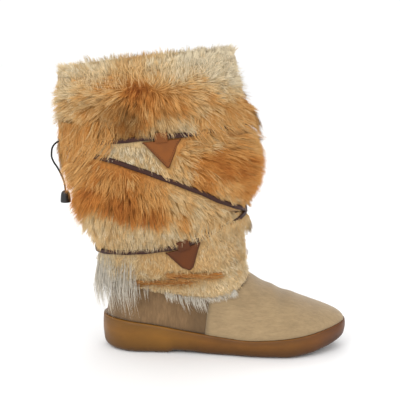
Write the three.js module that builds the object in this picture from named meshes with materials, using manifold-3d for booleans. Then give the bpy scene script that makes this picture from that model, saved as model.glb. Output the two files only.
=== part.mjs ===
// A fur winter boot for the right foot: gum-rubber wedge sole, short-haired vamp, deep fur shaft tied in by
// a leather lace that runs through four triangular leather tabs. Millimetres. X runs from heel to toe,
// Y towards the inner side of the foot, so the outer side is at -Y, and Z is up from the floor.
import * as THREE from "three";
import { mergeVertices } from "three/addons/utils/BufferGeometryUtils.js";
import Module from "manifold-3d";

const wasm = await Module();
wasm.setup();

// Driving dimensions
const SOLE_LENGTH = 266;
const SOLE_FLANGE = 2.6; // sole edge outside the lasted wall
const HEEL_ROUND = 40; // length over which the heel end of the outline rounds off
const TOE_ROUND = 62; // the same at the toe
const TOE_SQUARENESS = 2.25;
const SOLE_EDGE_RADIUS = 7; // rolled lower edge of the sole
const SOLE_WALL_BULGE = 0.9;
const BREAST_START = 73; // front of the heel block on the underside
const BREAST_END = 79;
const ANKLE_HEIGHT = 100;
const COLLAR_BACK = 297;
const COLLAR_FRONT = 313;
const WALL = 2.4; // leather and lining
const GAP = 0.4; // clearance between pieces that lie on each other
const SEAT_GAP = 0.3; // wall over sole, insole over sole
const VAMP_THICKNESS = 1.5;
const VAMP_SEAM_X = 113; // rear edge of the vamp
const VAMP_SEAM_LEAN = 0.1; // radians
const INSOLE_THICKNESS = 4;
const INSOLE_INSET = 6.6; // inside the sole's edge
const INSOLE_TOE_INSET = 12.5;
const SECTION_WIDE = 2.1; // exponents of the foot's cross-section
const SECTION_TALL = 1.75;
const SHAFT_SQUARENESS = 2.2;
const TIE_HALF = 4.2; // half width of the flat fur floor under a lace
const HEM_THICKNESS = 5;
const RIM_THICKNESS = 17;
const LACE_WIDTH = 5;
const LACE_THICKNESS = 1.8;
const TAB_HALF = 19.5;
const TAB_DEPTH = 30;
const TAB_THICKNESS = 1.7;
const TAB_LOOP_WIDTH = 13;
const CORD_DIAMETER = 2;
const BELL_RADIUS = 5.6;
const BELL_HEIGHT = 13;

// Columns around the wall, and rows up it
const COLUMNS = 40;
const FOOT_ROWS = 6;
const LEG_ROWS = 7;
const SOLE_STATIONS = 26;

// Half widths of the sole before its ends are rounded; along is the share of the length from the heel.
const OUTLINE = [
  { along: 0.0, outer: 32, inner: 32 },
  { along: 0.12, outer: 35, inner: 34.5 },
  { along: 0.25, outer: 36, inner: 34 },
  { along: 0.4, outer: 38.5, inner: 32 },
  { along: 0.52, outer: 43, inner: 36 },
  { along: 0.64, outer: 48, inner: 44.5 },
  { along: 0.74, outer: 49, inner: 48.5 },
  { along: 0.84, outer: 45, inner: 47.5 },
  { along: 0.93, outer: 38, inner: 43 },
  { along: 1.0, outer: 32, inner: 38 },
];

// Side of the sole: top is the feather line that the upper stands on, under the underside.
const SOLE_SIDE = [
  { x: 0, top: 36.2, under: 1.5 },
  { x: 16, top: 36, under: 0 },
  { x: 32, top: 35, under: 0 },
  { x: 64, top: 30.8, under: 0 },
  { x: BREAST_START, top: 29.2, under: 0 },
  { x: BREAST_END, top: 28.1, under: 2.6 },
  { x: 96, top: 25.3, under: 2.0 },
  { x: 120, top: 22.1, under: 0 },
  { x: 160, top: 18.9, under: 0 },
  { x: 181, top: 20, under: 0 },
  { x: 200, top: 21.9, under: 0 },
  { x: 223, top: 24.7, under: 2.4 },
  { x: 245, top: 28.2, under: 6.6 },
  { x: SOLE_LENGTH, top: 31.6, under: 12 },
];

// Top line of the foot in side view, from the toe tip back to the front of the leg.
const DORSAL = [
  { x: 136, z: 140 },
  { x: 140, z: 110 },
  { x: 144, z: 100 },
  { x: 152, z: 87 },
  { x: 163, z: 76.5 },
  { x: 185, z: 65.5 },
  { x: 201, z: 58.7 },
  { x: 218, z: 52.3 },
  { x: 234, z: 46.7 },
  { x: 249, z: 41.4 },
  { x: 257, z: 37.8 },
  { x: 262, z: 33.9 },
  { x: SOLE_LENGTH - SOLE_FLANGE, z: 31.2 },
];

// Back line of the heel.
const HEEL = [
  { z: 36, back: SOLE_FLANGE },
  { z: 48, back: 5.5 },
  { z: 60, back: 8.5 },
  { z: 80, back: 10 },
  { z: ANKLE_HEIGHT, back: 10 },
];

// The leg, leaning back as it goes up.
const LEG = [
  { z: ANKLE_HEIGHT, back: 10, front: 144, half: 43 },
  { z: 130, back: 6, front: 138.5, half: 45 },
  { z: 165, back: -4, front: 139, half: 48 },
  { z: 205, back: -14, front: 141, half: 51 },
  { z: 250, back: -22, front: 138, half: 53 },
  { z: 330, back: -32, front: 126, half: 54 },
];

// Lower edge of the fur, by degrees from the front, as a level of the wall.
const HEM = [
  { angle: 0, level: 0.79 },
  { angle: 35, level: 0.69 },
  { angle: 62, level: 0.58 },
  { angle: 85, level: 0.535 },
  { angle: 97, level: 0.56 },
  { angle: 118, level: 0.62 },
  { angle: 180, level: 0.62 },
];

// Heights of the three runs of the lace, and the depth of fur left under each, by degrees from the front.
const TIES = [
  { angle: 0, lower: 153, cross: 153, upper: 249, lowerFloor: 17, crossFloor: 17, upperFloor: 22 },
  { angle: 36, lower: 142, cross: 168, upper: 245, lowerFloor: 11, crossFloor: 11, upperFloor: 14 },
  { angle: 60, lower: 131, cross: 183, upper: 242, lowerFloor: 7, crossFloor: 7, upperFloor: 8 },
  { angle: 90, lower: 121, cross: 199, upper: 238, lowerFloor: 6.5, crossFloor: 6.5, upperFloor: 6.5 },
  { angle: 120, lower: 117, cross: 214, upper: 234, lowerFloor: 8, crossFloor: 8, upperFloor: 8 },
  { angle: 150, lower: 114, cross: 222, upper: 230, lowerFloor: 12, crossFloor: 15, upperFloor: 15 },
  { angle: 180, lower: 112, cross: 227, upper: 227, lowerFloor: 15, crossFloor: 21, upperFloor: 21 },
];

// How far each puff of fur swells beyond the ties that bound it, by degrees from the front.
const PUFFS = [
  { angle: 0, ankle: 3, rear: 1, front: 14, cuff: 1 },
  { angle: 45, ankle: 3, rear: 4, front: 17, cuff: 8 },
  { angle: 70, ankle: 2.5, rear: 9, front: 10, cuff: 13 },
  { angle: 86, ankle: 3, rear: 13, front: 1.5, cuff: 14 },
  { angle: 110, ankle: 5, rear: 16, front: 1, cuff: 14 },
  { angle: 140, ankle: 6, rear: 16, front: 2, cuff: 12 },
  { angle: 180, ankle: 3, rear: 7, front: 1, cuff: 5 },
];

// The puffs from the hem up, with the rows of facets and of locks that each has.
const BANDS = [
  { puff: "ankle", below: null, above: "lower", rows: 3, lockRows: [] },
  { puff: "rear", below: "lower", above: "cross", rows: 4, lockRows: [0.44, 0.8] },
  { puff: "front", below: "cross", above: "upper", rows: 4, lockRows: [0.44, 0.8] },
  { puff: "cuff", below: "upper", above: null, rows: 4, lockRows: [0.34, 0.72] },
];
const LOCK_COLUMNS = 11;
const LOCK_LENGTH = 25;
const LOCK_WIDTH = 10;
const LOCK_DEPTH = 4.5;
const LOCK_SINK = 3;
const LOCK_LEAST_PUFF = 4; // flatter fur is left without locks
const RIM_LOCKS = 12;
const CORD_CLEAR_ANGLE = 16; // degrees either side of the back kept free of locks for the draw cord

// The tabs: where each hangs on its run, and how far its point lies towards the toe.
const TABS = [
  { name: "upper", tie: "upper", angle: 83, pointShift: 3.5 },
  { name: "lower", tie: "lower", angle: 75, pointShift: 2 },
];

// The draw cord at the back of the shaft, from the lace's rear crossing to the top of its bell end.
const CORD_ROUTE = [
  [-40.7, -6.0, 227.0],
  [-44.6, -6.4, 226.4],
  [-49.0, -7.0, 223.4],
  [-51.8, -7.4, 217.8],
  [-52.2, -7.8, 211.2],
  [-50.2, -8.2, 205.0],
  [-46.6, -8.6, 199.6],
  [-43.0, -9.0, 193.0],
  [-40.2, -9.2, 186.6],
  [-38.6, -9.4, 180.4],
  [-38.0, -9.5, 174.4],
];

const COLOURS = {
  gum: { color: 0x9a6a35, roughness: 0.5, metalness: 0 },
  hide: { color: 0x9d8a6b, roughness: 0.9, metalness: 0 },
  vamp: { color: 0xb39a70, roughness: 0.9, metalness: 0 },
  fur: { color: 0xc79a5c, roughness: 0.95, metalness: 0 },
  lace: { color: 0x3a211b, roughness: 0.6, metalness: 0 },
  tab: { color: 0x9c6236, roughness: 0.55, metalness: 0 },
  felt: { color: 0xcfc2a8, roughness: 0.95, metalness: 0 },
  black: { color: 0x161616, roughness: 0.45, metalness: 0 },
};

const lerp = THREE.MathUtils.lerp;
const degrees = THREE.MathUtils.radToDeg;
const smooth = THREE.MathUtils.smoothstep;

// Reads one column of a table at a value of another, on a smooth curve through its rows without overshoot.
function read(table, by, column, value) {
  const last = table.length - 1;
  if (value <= table[0][by]) return table[0][column];
  if (value >= table[last][by]) return table[last][column];
  const i = table.findIndex((row, k) => k < last && value < table[k + 1][by]);
  const step = (k) => table[k + 1][by] - table[k][by];
  const slope = (k) => (table[k + 1][column] - table[k][column]) / step(k);
  const tangent = (k) => {
    if (k === 0) return slope(0);
    if (k === last) return slope(last - 1);
    const [a, b] = [slope(k - 1), slope(k)];
    return a * b <= 0 ? 0 : (2 * a * b) / (a + b);
  };
  const h = step(i);
  const t = (value - table[i][by]) / h;
  const [p, q] = [table[i][column], table[i + 1][column]];
  return (
    p * (1 + 2 * t) * (1 - t) ** 2 +
    q * t * t * (3 - 2 * t) +
    h * t * (1 - t) * (tangent(i) * (1 - t) - tangent(i + 1) * t)
  );
}

const feather = (x) => read(SOLE_SIDE, "x", "top", x);
const seatLine = (x) => feather(x) + SEAT_GAP;

// Half width of the sole's outline at x, towards one side.
function halfWidth(x, side) {
  const heel = 1 - Math.min(Math.max(x, 0) / HEEL_ROUND, 1);
  const toe = Math.min(Math.max((x - SOLE_LENGTH + TOE_ROUND) / TOE_ROUND, 0), 1);
  const rounding = Math.sqrt(1 - heel * heel) * Math.sqrt(1 - toe ** TOE_SQUARENESS);
  return read(OUTLINE, "along", side, x / SOLE_LENGTH) * rounding;
}

const sideOf = (angle) => (Math.sin(angle) >= 0 ? "outer" : "inner");
const signOf = (angle) => (Math.sin(angle) >= 0 ? -1 : 1);

// Degrees from the front, from 0 at the toe to 180 at the heel, on either side.
const fromFront = (angle) => degrees(Math.acos(THREE.MathUtils.clamp(Math.cos(angle), -1, 1)));

// Where the top line of the foot meets a level, found by halving.
function dorsalX(level) {
  let low = DORSAL[0].x;
  let high = SOLE_LENGTH - SOLE_FLANGE;
  for (let i = 0; i < 40; i++) {
    const x = (low + high) / 2;
    if (read(DORSAL, "x", "z", x) > lerp(seatLine(x), ANKLE_HEIGHT, level)) low = x;
    else high = x;
  }
  return (low + high) / 2;
}

const SEAT_FRONT = dorsalX(0);

const superOval = (u) => (1 - Math.abs(2 * u - 1) ** SHAFT_SQUARENESS) ** (1 / SHAFT_SQUARENESS);
const collar = (angle) => lerp(COLLAR_BACK, COLLAR_FRONT, (1 + Math.cos(angle)) / 2);

// The foot's wall, at levels from 0 at the feather line to 1 at the ankle.
function footWall(angle, level) {
  const front = dorsalX(level);
  const back = read(HEEL, "z", "back", lerp(seatLine(0), ANKLE_HEIGHT, level));
  const u = (1 + Math.cos(angle)) / 2;
  const x = lerp(back, front, u);
  const z = lerp(seatLine(x), ANKLE_HEIGHT, level);
  const onOutline = ((x - back * (1 - u)) / SEAT_FRONT) * SOLE_LENGTH;
  const room = Math.max(read(DORSAL, "x", "z", x) - seatLine(x), 1e-6);
  const tall = THREE.MathUtils.clamp((z - seatLine(x)) / room, 0, 1);
  const section = (1 - tall ** SECTION_TALL) ** (1 / SECTION_WIDE);
  const width = halfWidth(onOutline, sideOf(angle));
  const foot = width * (1 - SOLE_FLANGE / 48) * (level > 0 ? section : 1);
  const ankle = LEG[0].half * superOval(u);
  const half = lerp(foot, ankle, smooth(level, 0.25, 1));
  return new THREE.Vector3(x, signOf(angle) * half, z);
}

// The leg's wall, at levels from 1 at the ankle to 2 at the collar and a little beyond.
function legWall(angle, level) {
  const z = lerp(ANKLE_HEIGHT, collar(angle), level - 1);
  const u = (1 + Math.cos(angle)) / 2;
  const x = lerp(read(LEG, "z", "back", z), read(LEG, "z", "front", z), u);
  return new THREE.Vector3(x, signOf(angle) * read(LEG, "z", "half", z) * superOval(u), z);
}

const wallPoint = (angle, level) => (level < 1 ? footWall(angle, level) : legWall(angle, level));

// Along the wall's column upwards, around it, and straight out of it.
function wallFrame(angle, level) {
  const turn = 0.02;
  const rise = 0.01;
  const around = wallPoint(angle + turn, level).sub(wallPoint(angle - turn, level)).normalize();
  const up = wallPoint(angle, level + rise).sub(wallPoint(angle, Math.max(level - rise, 0))).normalize();
  const out = new THREE.Vector3().crossVectors(up, around).normalize();
  return { around, up, out };
}

// A point that lies a distance outside the wall.
function offWall(angle, level, distance) {
  return wallPoint(angle, level).addScaledVector(wallFrame(angle, level).out, distance);
}

const hemLevel = (angle) => read(HEM, "angle", "level", fromFront(angle));
const footLevel = (angle, row) => hemLevel(angle) * (row / FOOT_ROWS) ** 1.15;
const legLevel = (angle, row) => lerp(hemLevel(angle), 2, row / LEG_ROWS);
const angleOf = (column) => (2 * Math.PI * column) / COLUMNS;
const riseOf = (angle) => collar(angle) - ANKLE_HEIGHT;
const levelAt = (angle, z) => 1 + (z - ANKLE_HEIGHT) / riseOf(angle);

// Level of a lace run's centre line.
const tieLevel = (tie, angle) => levelAt(angle, read(TIES, "angle", tie, fromFront(angle)));
const tieFloor = (tie, angle) => read(TIES, "angle", tie + "Floor", fromFront(angle));

// The flat floors of the ties: where two runs cross, their floors lie side by side.
function floorLevels(angle) {
  const apart = (2 * TIE_HALF + 1) / riseOf(angle);
  const part = (a, b) => {
    const spread = Math.max(apart - (b - a), 0) / 2;
    return [a - spread, b + spread];
  };
  const [lower, crossLow] = part(tieLevel("lower", angle), tieLevel("cross", angle));
  const [crossHigh, upper] = part(crossLow, tieLevel("upper", angle));
  return { lower, cross: crossHigh, upper };
}

// Bottom and top level of one puff, and the depth of fur at both.
function bandEnds(band, angle) {
  const floors = floorLevels(angle);
  const half = TIE_HALF / riseOf(angle);
  return {
    low: band.below ? floors[band.below] + half : hemLevel(angle),
    high: band.above ? floors[band.above] - half : 2,
    lowDepth: band.below ? tieFloor(band.below, angle) : HEM_THICKNESS,
    highDepth: band.above ? tieFloor(band.above, angle) : RIM_THICKNESS,
  };
}

// Level and depth of the fur at a share of a puff's height. A puff that the ties pinch flat doesn't swell.
function furAt(band, angle, share) {
  const { low, high, lowDepth, highDepth } = bandEnds(band, angle);
  const room = smooth((high - low) * riseOf(angle), 2, 34);
  const swell = read(PUFFS, "angle", band.puff, fromFront(angle)) * room;
  const rounding = Math.sin(Math.PI * share) ** 0.75;
  return { level: lerp(low, high, share), depth: lerp(lowDepth, highDepth, share) + swell * rounding };
}

// A closed surface up through the outside loops, down through the inside ones and round to the start. The
// quads of both faces are split along the same diagonal, so that faces that lie on each other stay parallel.
function ringGeometry(outside, inside) {
  const loops = [...outside, ...inside.slice().reverse()];
  const size = loops[0].length;
  const index = [];
  loops.forEach((loop, i) => {
    const next = ((i + 1) % loops.length) * size;
    for (let k = 0; k < size; k++) {
      const [a, b] = [i * size + k, i * size + ((k + 1) % size)];
      const [c, d] = [next + k, next + ((k + 1) % size)];
      index.push(...(i < outside.length ? [a, c, b, b, c, d] : [a, d, b, a, c, d]));
    }
  });
  return new THREE.BufferGeometry().setFromPoints(loops.flat()).setIndex(index);
}

// A closed surface through stacked loops whose halves mirror each other, with strips across both ends.
function stackGeometry(loops) {
  const size = loops[0].length;
  const index = [];
  for (let i = 0; i + 1 < loops.length; i++) {
    for (let k = 0; k < size; k++) {
      const [a, b] = [i * size + k, i * size + ((k + 1) % size)];
      index.push(a, a + size, b, b, a + size, b + size);
    }
  }
  const across = (start, turned) => {
    for (let k = 0; k + 1 < size / 2; k++) {
      const quad = [k, k + 1, size - 2 - k, size - 1 - k].map((v) => start + v);
      const faces = [quad[0], quad[1], quad[3], quad[1], quad[2], quad[3]];
      index.push(...(turned ? faces.reverse() : faces));
    }
  };
  across(0, false);
  across((loops.length - 1) * size, true);
  return new THREE.BufferGeometry().setFromPoints(loops.flat()).setIndex(index);
}

// A sheet with thickness: place gives a point from shares across and along it, and 0 or 1 for its two faces.
function slabGeometry(across, along, place) {
  const faces = [0, 1].map((side) => {
    const rows = [];
    for (let j = 0; j <= along; j++) {
      rows.push(Array.from({ length: across + 1 }, (_, i) => place(i / across, j / along, side)));
    }
    return rows;
  });
  const loops = [];
  for (let j = 0; j <= along; j++) loops.push([...faces[0][j], ...faces[1][j].slice().reverse()]);
  return stackGeometry(loops);
}

// A geometry as a solid for joining and cutting, facing out whichever way its loops ran.
function solidOf(geometry) {
  const bare = geometry.clone();
  bare.deleteAttribute("normal");
  bare.deleteAttribute("uv");
  const merged = mergeVertices(bare, 1e-4);
  const vertProperties = new Float32Array(merged.attributes.position.array);
  const triVerts = new Uint32Array(merged.index.array);
  const make = () => new wasm.Manifold(new wasm.Mesh({ numProp: 3, vertProperties, triVerts }));
  if (make().volume() < 0) triVerts.reverse();
  return make();
}

function geometryOf(solid) {
  const { vertProperties, triVerts } = solid.getMesh();
  return new THREE.BufferGeometry()
    .setAttribute("position", new THREE.BufferAttribute(new Float32Array(vertProperties), 3))
    .setIndex(new THREE.BufferAttribute(new Uint32Array(triVerts), 1));
}

const meshes = [];

function addMesh(name, geometry, finish) {
  const mesh = new THREE.Mesh(geometry, new THREE.MeshStandardMaterial(COLOURS[finish]));
  mesh.name = name;
  meshes.push(mesh);
  return mesh;
}

// A point of the sole's outline at x on one side, moved inwards square to the edge.
function soleEdge(x, side, inset) {
  const step = 0.05;
  const slope = (halfWidth(x + step, side) - halfWidth(x - step, side)) / (2 * step);
  const outward = new THREE.Vector2(-slope, side === "outer" ? -1 : 1).normalize();
  const y = (side === "outer" ? -1 : 1) * halfWidth(x, side);
  return new THREE.Vector2(x, y).addScaledVector(outward, -inset);
}

// Stations along the sole, closer at its ends, with the two edges of the heel breast among them.
function soleStations() {
  const end = 0.15;
  const xs = [BREAST_START, BREAST_END];
  for (let i = 0; i < SOLE_STATIONS; i++) {
    const share = (1 - Math.cos((Math.PI * i) / (SOLE_STATIONS - 1))) / 2;
    xs.push(lerp(end, SOLE_LENGTH - end, share));
  }
  return xs.sort((a, b) => a - b);
}

// A loop round the sole's outline, out along the outer side and home along the inner side.
function soleLoop(insetAt, heightAt) {
  const xs = soleStations();
  const place = (side) => (x) => {
    const edge = soleEdge(x, side, insetAt(x));
    return new THREE.Vector3(edge.x, edge.y, heightAt(edge.x));
  };
  return [...xs.map(place("outer")), ...xs.map(place("inner")).reverse()];
}

// One-piece wedge sole: rolled lower edge, slightly swollen side, flat top for the upper.
function outsole() {
  const under = (x) => read(SOLE_SIDE, "x", "under", x);
  const loops = [];
  for (const turn of [0, 30, 60, 90]) {
    const a = THREE.MathUtils.degToRad(turn);
    const inset = SOLE_EDGE_RADIUS * (1 - Math.sin(a));
    const rise = SOLE_EDGE_RADIUS * (1 - Math.cos(a));
    loops.push(soleLoop(() => inset, (x) => under(x) + rise));
  }
  const half = (x) => lerp(under(x) + SOLE_EDGE_RADIUS, feather(x), 0.5);
  const lip = 1.1;
  loops.push(soleLoop(() => -SOLE_WALL_BULGE, half));
  loops.push(soleLoop(() => -0.3, (x) => feather(x) - lip));
  loops.push(soleLoop(() => 0.5, feather));
  return addMesh("outsole", geometryOf(solidOf(stackGeometry(loops))), "gum");
}

function insole() {
  const inset = (x) => lerp(INSOLE_INSET, INSOLE_TOE_INSET, smooth(x, 160, SOLE_LENGTH));
  const bottom = soleLoop(inset, seatLine);
  const top = soleLoop(inset, (x) => seatLine(x) + INSOLE_THICKNESS);
  return addMesh("insole", geometryOf(solidOf(stackGeometry([bottom, top]))), "felt");
}

const columnLoop = (place) => Array.from({ length: COLUMNS }, (_, k) => place(angleOf(k)));
const rowNumbers = (from, to) => Array.from({ length: to - from + 1 }, (_, i) => from + i);

// Loops up the foot or the leg at one distance off the wall.
const footLoops = (distance) =>
  rowNumbers(0, FOOT_ROWS).map((row) => columnLoop((a) => offWall(a, footLevel(a, row), distance)));
const legLoops = (distance) =>
  rowNumbers(1, LEG_ROWS).map((row) => columnLoop((a) => offWall(a, legLevel(a, row), distance)));

// Foot and leg in one hollow wall, open at the collar and underneath.
function upper() {
  const outside = [...footLoops(0), ...legLoops(0)];
  const inside = [...footLoops(-WALL), ...legLoops(-WALL)];
  inside[0].forEach((p, k) => (p.z = Math.max(p.z, outside[0][k].z)));
  return addMesh("upper", geometryOf(solidOf(ringGeometry(outside, inside))), "hide");
}

// The vamp lies over the front of the wall, from the feather line to the hem of the fur.
function vamp() {
  const edge = 0.006;
  const loops = (distance) =>
    rowNumbers(0, FOOT_ROWS).map((row) =>
      columnLoop((a) => offWall(a, footLevel(a, row) - (row === FOOT_ROWS ? edge : 0), distance)),
    );
  const over = solidOf(ringGeometry(loops(GAP + VAMP_THICKNESS), loops(GAP)));
  const reach = 2 * SOLE_LENGTH;
  const front = new THREE.BoxGeometry(reach, reach, reach)
    .translate(reach / 2, 0, 0)
    .rotateY(VAMP_SEAM_LEAN)
    .translate(VAMP_SEAM_X, 0, feather(VAMP_SEAM_X));
  return addMesh("vamp", geometryOf(over.intersect(solidOf(front))), "vamp");
}

// A leaf-shaped lock of fur, with its root sunk in the surface and its tip along the comb direction.
function lockGeometry(root, comb, out, size) {
  const across = new THREE.Vector3().crossVectors(comb, out).normalize();
  const rise = new THREE.Vector3().crossVectors(across, comb).normalize();
  const lock = new THREE.ConeGeometry(1, 1, 4, 2).translate(0, 0.5, 0);
  const position = lock.attributes.position;
  for (let i = 0; i < position.count; i++) {
    const middle = 0.25 * Math.sin(Math.PI * position.getY(i));
    position.setX(i, position.getX(i) * (1 + middle) * LOCK_WIDTH * size);
    position.setZ(i, (position.getZ(i) + middle) * LOCK_DEPTH * size);
    position.setY(i, position.getY(i) * LOCK_LENGTH * size);
  }
  const basis = new THREE.Matrix4().makeBasis(across, comb, rise).setPosition(root);
  if (basis.determinant() < 0) basis.scale(new THREE.Vector3(-1, 1, 1));
  return lock.applyMatrix4(basis);
}

// One lock at a share of a puff's height, lying down the fur and a little outwards.
function lockOn(band, angle, share, sway) {
  const { level, depth } = furAt(band, angle, share);
  const { around, up, out } = wallFrame(angle, level);
  const root = offWall(angle, level, depth - LOCK_SINK);
  const comb = up.clone().multiplyScalar(-0.9).addScaledVector(out, 0.26).addScaledVector(around, sway);
  return lockGeometry(root, comb.normalize(), out, 0.85 + 0.3 * Math.abs(Math.sin(9 * angle + 7 * share)));
}

function furLocks() {
  const locks = [];
  for (const band of BANDS) {
    band.lockRows.forEach((share, row) => {
      for (let k = 0; k < LOCK_COLUMNS; k++) {
        const angle = (2 * Math.PI * (k + 0.5 * (row % 2))) / LOCK_COLUMNS;
        const { low, high } = bandEnds(band, angle);
        const tall = (high - low) * riseOf(angle) > LOCK_LENGTH;
        const puffed = read(PUFFS, "angle", band.puff, fromFront(angle)) > LOCK_LEAST_PUFF;
        const clear = 180 - fromFront(angle) > CORD_CLEAR_ANGLE || band.puff === "cuff";
        if (tall && puffed && clear) locks.push(lockOn(band, angle, share, 0.3 * Math.sin(5 * k + row)));
      }
    });
  }
  for (let k = 0; k < RIM_LOCKS; k++) {
    const angle = (2 * Math.PI * k) / RIM_LOCKS;
    const { up, out } = wallFrame(angle, 2);
    const comb = up.clone().addScaledVector(out, 0.35 * Math.sin(3 * k)).normalize();
    locks.push(lockGeometry(offWall(angle, 2, RIM_THICKNESS / 2), comb, out, 0.74));
  }
  return locks;
}

// The fur as a hollow sleeve round the leg: puffs between flat floors for the lace, a hem and a round rim.
function furSleeve() {
  const outside = BANDS.flatMap((band) =>
    rowNumbers(0, band.rows).map((row) =>
      columnLoop((a) => {
        const { level, depth } = furAt(band, a, row / band.rows);
        return offWall(a, level, depth);
      }),
    ),
  );
  const rim = [
    { rise: 0.03, share: 0.9 },
    { rise: 0.05, share: 0.6 },
    { rise: 0.045, share: 0.22 },
  ].map(({ rise, share }) => columnLoop((a) => offWall(a, 2 + rise, RIM_THICKNESS * share)));
  const hem = columnLoop((a) => offWall(a, hemLevel(a), GAP));
  return solidOf(ringGeometry([...outside, ...rim], [hem, ...legLoops(GAP)]));
}

// Joined from three closed runs, whose floors meet at the front and at the back.
function laceSolid(width, bottom, top) {
  const runs = ["lower", "cross", "upper"].map((tie) => {
    const centre = (a, distance) => offWall(a, tieLevel(tie, a), tieFloor(tie, a) + distance);
    const step = 0.03;
    const corner = (k, side, distance) => {
      const a = angleOf(k);
      const along = centre(a + step, distance).sub(centre(a - step, distance)).normalize();
      const { out } = wallFrame(a, tieLevel(tie, a));
      const edge = new THREE.Vector3().crossVectors(out, along).normalize();
      return centre(a, distance).addScaledVector(edge, (side * width) / 2);
    };
    const sections = Array.from({ length: COLUMNS }, (_, k) => [
      corner(k, -1, bottom),
      corner(k, 1, bottom),
      corner(k, 1, top),
      corner(k, -1, top),
    ]);
    return solidOf(ringGeometry(sections, []));
  });
  return runs.reduce((joined, run) => joined.add(run));
}

const lace = () => addMesh("lace", geometryOf(laceSolid(LACE_WIDTH, GAP, GAP + LACE_THICKNESS)), "lace");

// One tab: a triangle hanging under its run, with a keeper loop over the lace. grow widens it for clearance.
function tabSolid(tab, mirrored, grow) {
  const centre = THREE.MathUtils.degToRad(tab.angle);
  const turned = (a) => (mirrored ? 2 * Math.PI - a : a);
  const floor = tieFloor(tab.tie, centre);
  const onRun = (a, drop, distance) =>
    offWall(turned(a), tieLevel(tab.tie, turned(a)) - drop / riseOf(a), floor + distance);
  const step = 0.02;
  const speed = onRun(centre + step, 0, 0).distanceTo(onRun(centre - step, 0, 0)) / (2 * step);
  const half = TAB_HALF + grow;
  const top = LACE_WIDTH / 2 + 1 - grow;
  const faces = grow ? [-0.45, 14] : [GAP, GAP + TAB_THICKNESS];
  const plate = slabGeometry(8, 3, (across, along, face) => {
    const s = lerp(-half, half, across);
    const point = tab.pointShift;
    const share = s < point ? (s + half) / (half + point) : (half - s) / (half - point);
    const depth = Math.max(1.8, Math.min(share, 0.95) * (TAB_DEPTH + 4 * grow));
    return onRun(centre - s / speed, top + along * depth, faces[face]);
  });
  const ahead = onRun(centre - step, 0, 0).sub(onRun(centre + step, 0, 0)).normalize();
  const out = wallFrame(turned(centre), tieLevel(tab.tie, turned(centre))).out;
  const across = new THREE.Vector3().crossVectors(out, ahead).normalize();
  const inner = LACE_WIDTH / 2 + 1.1;
  const outer = inner + TAB_THICKNESS - 0.2 + grow;
  const roof = GAP + LACE_THICKNESS + 0.5;
  const tall = grow ? faces[1] : roof + TAB_THICKNESS - 0.3;
  const foot = grow ? faces[0] : 0.3;
  const staple = new THREE.Shape();
  staple.moveTo(-outer, foot).lineTo(-outer, tall).lineTo(outer, tall).lineTo(outer, foot);
  if (!grow) staple.lineTo(inner, foot).lineTo(inner, roof).lineTo(-inner, roof).lineTo(-inner, foot);
  staple.closePath();
  const width = TAB_LOOP_WIDTH + 2 * grow;
  const basis = new THREE.Matrix4().makeBasis(across, out, new THREE.Vector3().crossVectors(across, out));
  const loop = new THREE.ExtrudeGeometry(staple, { depth: width, bevelEnabled: false })
    .translate(0, 0, -width / 2)
    .applyMatrix4(basis.setPosition(onRun(centre, 0, 0)));
  return solidOf(plate).add(solidOf(loop));
}

const TAB_SIDES = [
  { side: "outer", mirrored: false },
  { side: "inner", mirrored: true },
];

function tabs() {
  for (const tab of TABS) {
    for (const { side, mirrored } of TAB_SIDES) {
      addMesh(`tab_${tab.name}_${side}`, geometryOf(tabSolid(tab, mirrored, 0)), "tab");
    }
  }
}

// The fur with its locks fused on, cut clear of the lace and the tabs.
function furShaft() {
  const shaggy = furLocks().reduce((fur, lock) => fur.add(solidOf(lock)), furSleeve());
  let fur = shaggy.subtract(laceSolid(LACE_WIDTH + 1, GAP / 2, 6));
  for (const tab of TABS) {
    for (const { mirrored } of TAB_SIDES) fur = fur.subtract(tabSolid(tab, mirrored, 0.9));
  }
  const [largest] = fur.decompose().sort((a, b) => b.volume() - a.volume());
  return addMesh("fur_shaft", geometryOf(largest), "fur");
}

// Draw cord and its bell end, hanging at the back of the shaft.
function drawCord() {
  const path = new THREE.CatmullRomCurve3(CORD_ROUTE.map((p) => new THREE.Vector3(...p)));
  const section = new THREE.Shape().absarc(0, 0, CORD_DIAMETER / 2, 0, 2 * Math.PI);
  const tube = new THREE.ExtrudeGeometry(section, { steps: 16, curveSegments: 4, extrudePath: path });
  const cord = addMesh("draw_cord", geometryOf(solidOf(tube)), "black");
  const mouth = BELL_RADIUS - 1.6;
  const recess = 3;
  const profile = [
    [0, 0],
    [1.8, 0],
    [3.4, -0.9],
    [4.7, -3.2],
    [BELL_RADIUS, -BELL_HEIGHT + 2.5],
    [BELL_RADIUS, -BELL_HEIGHT],
    [mouth, -BELL_HEIGHT],
    [mouth - 0.5, -BELL_HEIGHT + recess],
    [0, -BELL_HEIGHT + recess],
  ].map(([r, z]) => new THREE.Vector2(r, z));
  const [x, y, z] = CORD_ROUTE[CORD_ROUTE.length - 1];
  const bell = new THREE.LatheGeometry(profile, 12).rotateX(Math.PI / 2).translate(x, y, z - SEAT_GAP);
  return [cord, addMesh("cord_bell", geometryOf(solidOf(bell)), "black")];
}

outsole();
insole();
upper();
vamp();
lace();
tabs();
furShaft();
const cordPieces = drawCord();

// The part's origin is on the floor, under the middle of everything but the draw cord.
const boot = new THREE.Group();
boot.add(...meshes);
const extent = new THREE.Box3();
meshes.filter((mesh) => !cordPieces.includes(mesh)).forEach((mesh) => extent.expandByObject(mesh));
const middle = extent.getCenter(new THREE.Vector3());
boot.position.set(-middle.x, -middle.y, -extent.min.z);
const part = new THREE.Group();
part.add(boot);

export default part;
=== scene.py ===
"""A fur winter boot for the right foot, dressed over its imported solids.

The forms are worked out in millimetres with X from the heel to the toe, Y towards the inner side of the
foot and Z up, from the same named values as the solids, and are put into the shared frame in metres.
"""

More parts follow.
